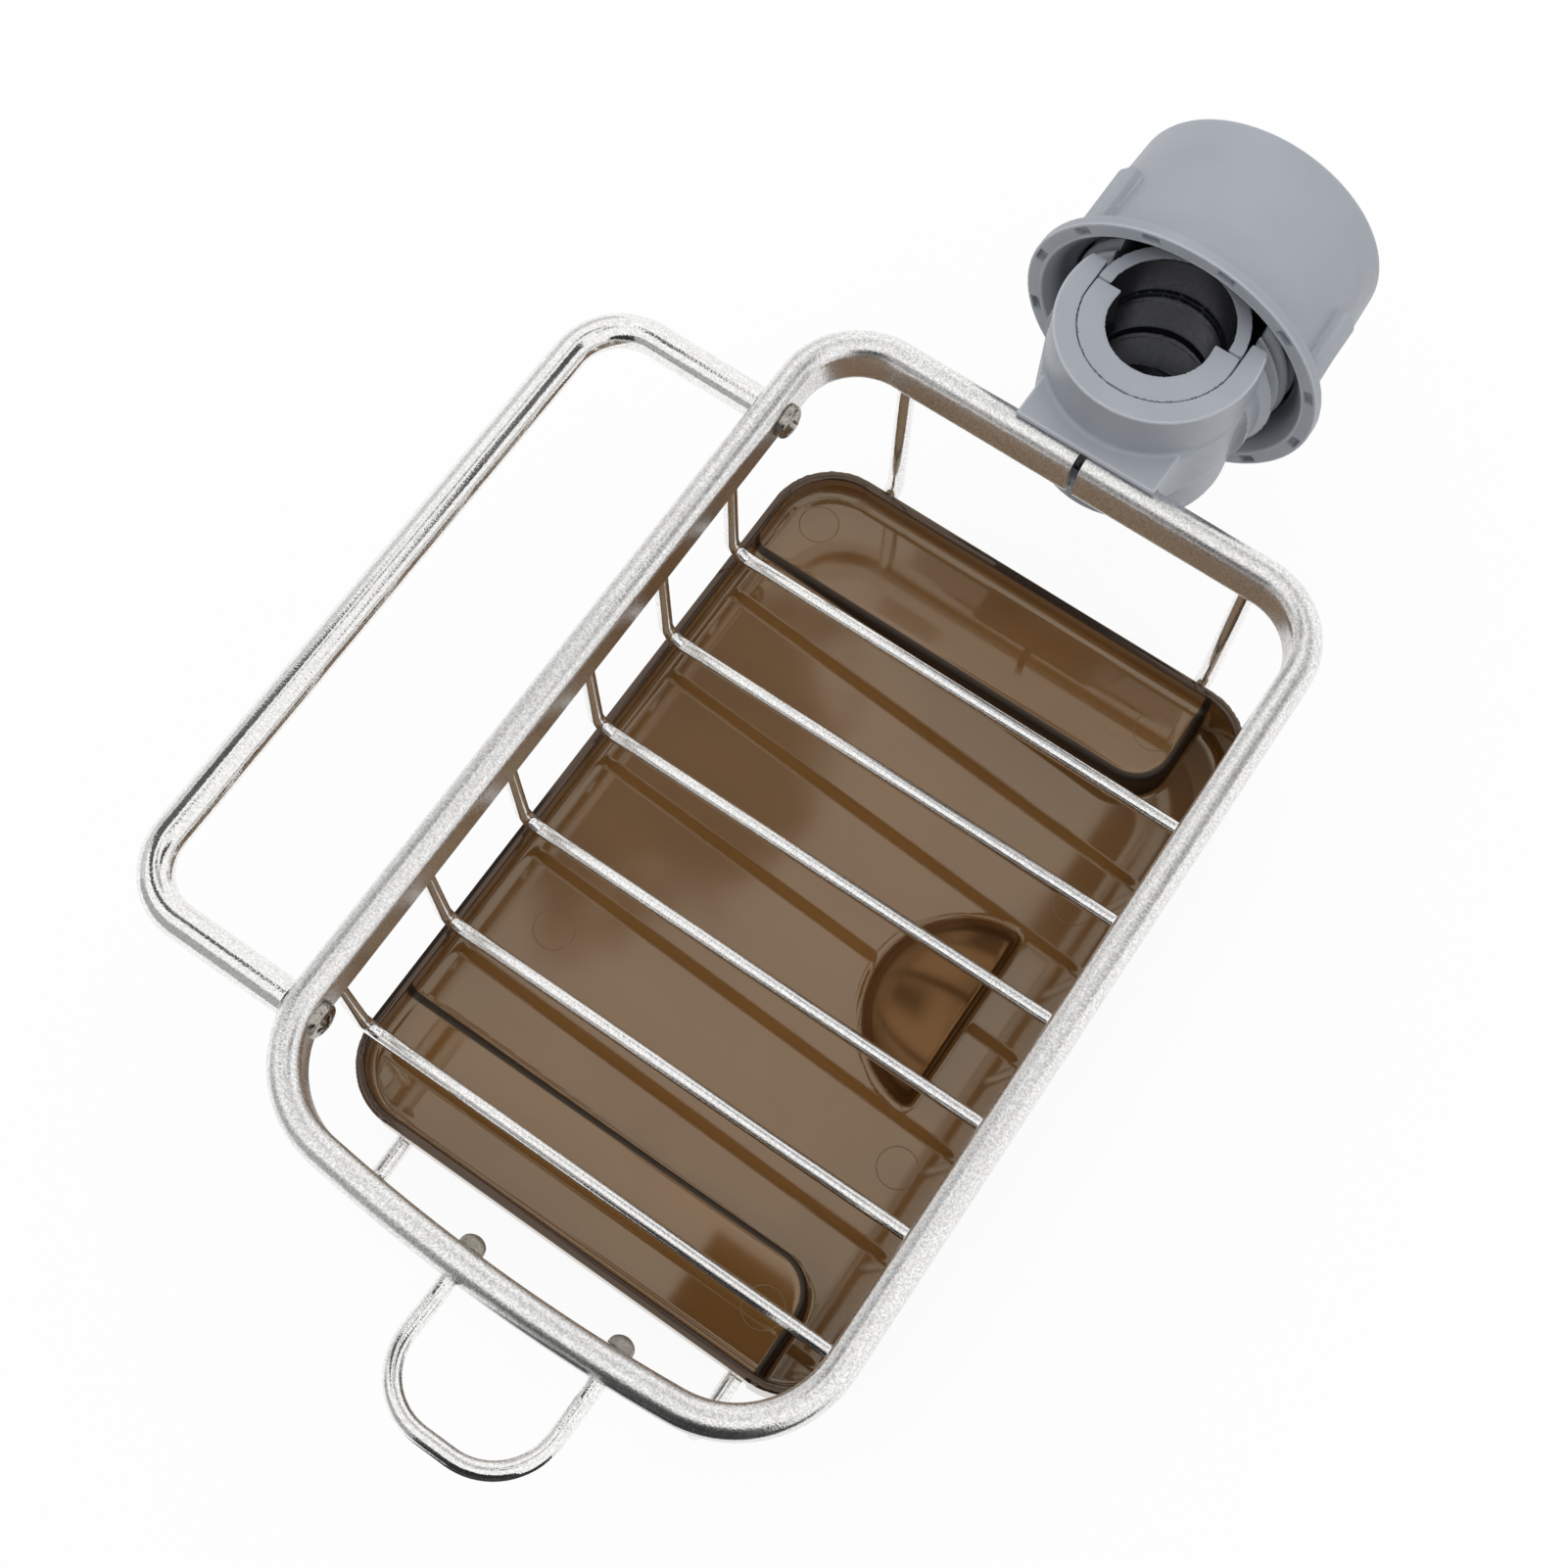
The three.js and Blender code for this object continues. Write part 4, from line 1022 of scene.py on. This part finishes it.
# Flags around the table, seen only in reflections: they draw the streaks on the metal and the tray
flags = {
    "overFlag": {"mid": (0.066, -0.085, 0.78), "across": (0.134, 0, 0), "up": (0, 0.03, 0), "tone": 0.02},
    "frontFlag": {"mid": (0.17, -0.42, 0.11), "across": (0.22, 0, 0), "up": (0, 0, 0.16), "tone": 0.03},
    "deskFlag": {"mid": (0.19, -0.31, -0.052), "across": (0.2, 0, 0), "up": (0, 0.11, 0), "tone": 0.04},
    "leftFront": {"mid": (-0.33, -0.42, 0.11), "across": (0.28, 0, 0), "up": (0, 0, 0.16), "tone": 0.42},
    "farFlag": {"mid": (-0.05, 0.46, 0.78), "across": (0.15, 0, 0), "up": (0, 0.17, 0), "tone": 0.45},
    "cloudFlag": {"mid": (-0.075, 0.15, 0.78), "across": (0.085, 0, 0), "up": (0, 0.16, 0), "tone": 0.3},
    "rightFlag": {"mid": (0.375, 0.195, 0.5), "across": (0.275, 0, 0), "up": (0, 0.105, 0), "tone": 0.08},
    "cornerFlag": {"mid": (-0.56, -0.065, 0.5), "across": (0.34, 0, 0), "up": (0, 0.095, 0), "tone": 0.1},
    "leftFlag": {"mid": (-0.9, 0, 0.3), "across": (0, 1.0, 0), "up": (0.1, 0, 0.3), "tone": 0.68},
}
cloudLook = {
    "wispScale": 16.0, "wispDetail": 3.0, "wispMiddle": 0.5, "cover": (0.05, 0.4), "edge": (0.0, 0.15),
}


def cloudColour(tree, middle, across, up, colour):
    # a soft round patch with wispy edges, white outside it
    place = addNode(tree, "ShaderNodeTexCoord").outputs["Object"]
    fitted = {"Location": middle, "Scale": (across.x, up.y, 1)}
    fit = addNode(tree, "ShaderNodeMapping", fitted, vector_type="TEXTURE")
    ball = addNode(tree, "ShaderNodeTexGradient", gradient_type="SPHERICAL")
    look = {"Scale": cloudLook["wispScale"], "Detail": cloudLook["wispDetail"]}
    wisps = addNode(tree, "ShaderNodeTexNoise", look)
    tree.links.new(place, fit.inputs["Vector"])
    tree.links.new(fit.outputs["Vector"], ball.inputs["Vector"])
    tree.links.new(place, wisps.inputs["Vector"])
    ragged = mathNode(tree, "SUBTRACT", wisps.outputs["Fac"], cloudLook["wispMiddle"])
    cover = rampBetween(tree, mathNode(tree, "ADD", ball.outputs["Fac"], ragged), *cloudLook["cover"])
    edge = rampBetween(tree, ball.outputs["Fac"], *cloudLook["edge"])
    cover = mathNode(tree, "MULTIPLY", cover, edge)
    return mixColours(tree, cover, (1, 1, 1, 1), colour)


def makeFlags():
    for name, flag in flags.items():
        middle, across, up = (Vector(flag[k]) for k in ("mid", "across", "up"))
        colour = (flag["tone"],) * 3 + (1,)
        material, tree, shader = newMaterial(name)
        shader.inputs["Base Color"].default_value = (0, 0, 0, 1)
        shader.inputs["Specular IOR Level"].default_value = 0.0
        shader.inputs["Emission Color"].default_value = colour
        shader.inputs["Emission Strength"].default_value = 1.0
        if name == "cloudFlag":
            tree.links.new(cloudColour(tree, middle, across, up, colour), shader.inputs["Emission Color"])
        corners = [middle + across * a + up * b for a, b in ((-1, -1), (1, -1), (1, 1), (-1, 1))]
        sheet = addSheet(name, corners, material)
        for sight in ("camera", "diffuse", "transmission", "shadow", "volume_scatter"):
            setattr(sheet, f"visible_{sight}", False)


def makeCamera():
    data = bpy.data.cameras.new("shotCamera")
    data.lens = shot["sensor"] * shot["focalPixels"] / shot["photoPixels"]
    data.sensor_width = shot["sensor"]
    data.clip_start, data.clip_end = shot["clip"]
    camera = bpy.data.objects.new("shotCamera", data)
    up, back = [-v for v in shot["down"]], [-v for v in shot["forward"]]
    turn = Matrix((shot["right"], up, back)).transposed()
    camera.matrix_world = Matrix.Translation(shot["place"]) @ turn.to_4x4()
    bpy.context.scene.collection.objects.link(camera)
    bpy.context.scene.camera = camera


makeFloor()
makeLight()
makeFlags()
makeCamera()
bpy.context.scene.view_settings.view_transform = "Standard"
print("studio and camera made")
